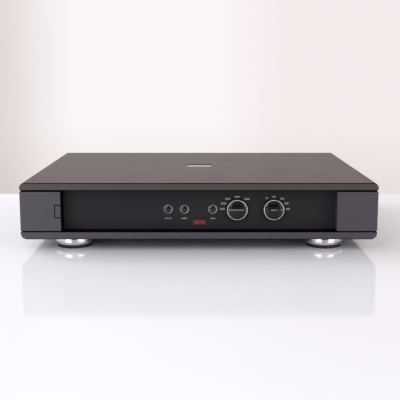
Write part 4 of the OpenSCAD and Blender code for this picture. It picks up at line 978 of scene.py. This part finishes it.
class PREAMP_OT_stage(PieceOperator, bpy.types.Operator):
    """Pale table, soft studio light and the camera"""
    bl_idname = "preamp.stage"
    bl_label = "Stage"

    def execute(self, context):
        self.table()
        self.room()
        for name, box in SOFT_BOXES.items():
            self.soft_box(name, *box)
        self.camera()
        bpy.context.scene.view_settings.view_transform = "Standard"
        return {"FINISHED"}

    def table(self):
        """Table top, which ends a little way behind the case."""
        pick()
        wide, deep = 7, 5
        bpy.ops.mesh.primitive_plane_add(size=1, location=(0, sizes().table_back - deep / 2, 0))
        plane = bpy.context.object
        plane.name = "table"
        plane.scale = (wide, deep, 1)
        settle(plane)
        plane.data.materials.append(lacquered_table("lacquered_table", rgb(colours().table)))

    def room(self):
        """Pale wall that dims low down and to the left, with a darker ceiling and a dark strip in front.

        Only the camera, gloss and clear pieces see it. What lights the room is an even grey.
        """
        world = bpy.data.worlds.new("studio_room")
        bpy.context.scene.world = world
        world.use_nodes = True
        tree = world.node_tree
        tree.nodes.clear()
        way = add(tree, "SeparateXYZ", {"Vector": add(tree, "TexCoord").outputs["Generated"]})
        wall = (*rgb(colours().wall), 1)

        def past(axis, start, end):
            span = {"Value": way.outputs[axis], "From Min": start, "From Max": end}
            return add(tree, "MapRange", span, interpolation_type="SMOOTHSTEP").outputs["Result"]

        for axis, start, end, code in WALL_TINTS:
            wall = add(tree, "Mix", {0: past(axis, start, end), 6: wall, 7: (*linear(code), 1)},
                       data_type="RGBA", blend_type="MULTIPLY").outputs[2]
        dark = 1.0
        for edge in DARK_STRIP:
            dark = add(tree, "Math", {0: past(*edge), 1: dark}, operation="MULTIPLY").outputs[0]
        wall = add(tree, "Mix", {0: dark, 6: wall, 7: (*linear("#0b0b0c"), 1)}, data_type="RGBA").outputs[2]
        soft = add(tree, "Background", {"Color": (*linear("#f1f1f3"), 1), "Strength": 0.65})
        seen = add(tree, "Background", {"Color": wall, "Strength": 1.0})
        rays = add(tree, "LightPath")
        shown = add(tree, "Math", {0: rays.outputs["Is Camera Ray"], 1: rays.outputs["Is Glossy Ray"]},
                    operation="MAXIMUM")
        shown = add(tree, "Math", {0: shown.outputs[0], 1: rays.outputs["Is Transmission Ray"]},
                    operation="MAXIMUM")
        both = add(tree, "MixShader", {0: shown.outputs[0], 1: soft.outputs[0], 2: seen.outputs[0]})
        add(tree, "OutputWorld", {"Surface": both.outputs[0]})

    def soft_box(self, name, place, size, power, tint):
        """A soft box, wide and tall in metres, that looks at the middle of the case."""
        pick()
        bpy.ops.object.light_add(type="AREA", location=place)
        lamp = bpy.context.object
        lamp.name = name
        lamp.data.shape = "RECTANGLE"
        lamp.data.size, lamp.data.size_y = size
        lamp.data.energy = power
        lamp.data.color = linear(tint)
        aim = Vector((0, 0, 0.05)) - Vector(place)
        lamp.rotation_mode = "QUATERNION"
        lamp.rotation_quaternion = aim.to_track_quat("-Z", "Y")

    def camera(self):
        """Camera in front of the case and a little above it, tilted down."""
        pick()
        bpy.ops.object.camera_add(location=(EYE_RIGHT * MM, -sizes().eye_back, sizes().eye_up),
                                  rotation=(radians(90 - LOOK_DOWN), 0, 0))
        eye = bpy.context.object
        eye.name = "front_camera"
        eye.data.sensor_width = SENSOR
        eye.data.lens = FOCAL_LENGTH
        eye.data.clip_start = 0.05
        eye.data.clip_end = 40
        bpy.context.scene.camera = eye


# ---------------------------------------------------------------- add-on

OPERATORS = (PREAMP_OT_stage, PREAMP_OT_cover, PREAMP_OT_case, PREAMP_OT_panel, PREAMP_OT_legends,
             PREAMP_OT_power_button, PREAMP_OT_round_buttons, PREAMP_OT_knobs, PREAMP_OT_feet,
             PREAMP_OT_back, PREAMP_OT_inside)


class PREAMP_PT_panel(bpy.types.Panel):
    """Lists the pieces in the sidebar, with their colours and sizes"""
    bl_idname = "PREAMP_PT_panel"
    bl_label = "Phono Preamp"
    bl_space_type = "VIEW_3D"
    bl_region_type = "UI"
    bl_category = "Preamp"

    def draw(self, context):
        for operator in OPERATORS:
            self.layout.operator(operator.bl_idname)
        for group in (context.scene.preamp_colours, context.scene.preamp_sizes):
            box = self.layout.box()
            for name in group.bl_rna.properties.keys():
                if name not in {"rna_type", "name"}:
                    box.prop(group, name)


CLASSES = (PreampColours, PreampSizes, *OPERATORS, PREAMP_PT_panel)


def register():
    for each in CLASSES:
        bpy.utils.register_class(each)
    bpy.types.Scene.preamp_colours = PointerProperty(type=PreampColours)
    bpy.types.Scene.preamp_sizes = PointerProperty(type=PreampSizes)


def unregister():
    del bpy.types.Scene.preamp_sizes
    del bpy.types.Scene.preamp_colours
    for each in reversed(CLASSES):
        bpy.utils.unregister_class(each)


def main():
    """Registers the add-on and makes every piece."""
    register()
    for operator in OPERATORS:
        group, name = operator.bl_idname.split(".")
        getattr(getattr(bpy.ops, group), name)()


if __name__ == "__main__":
    main()
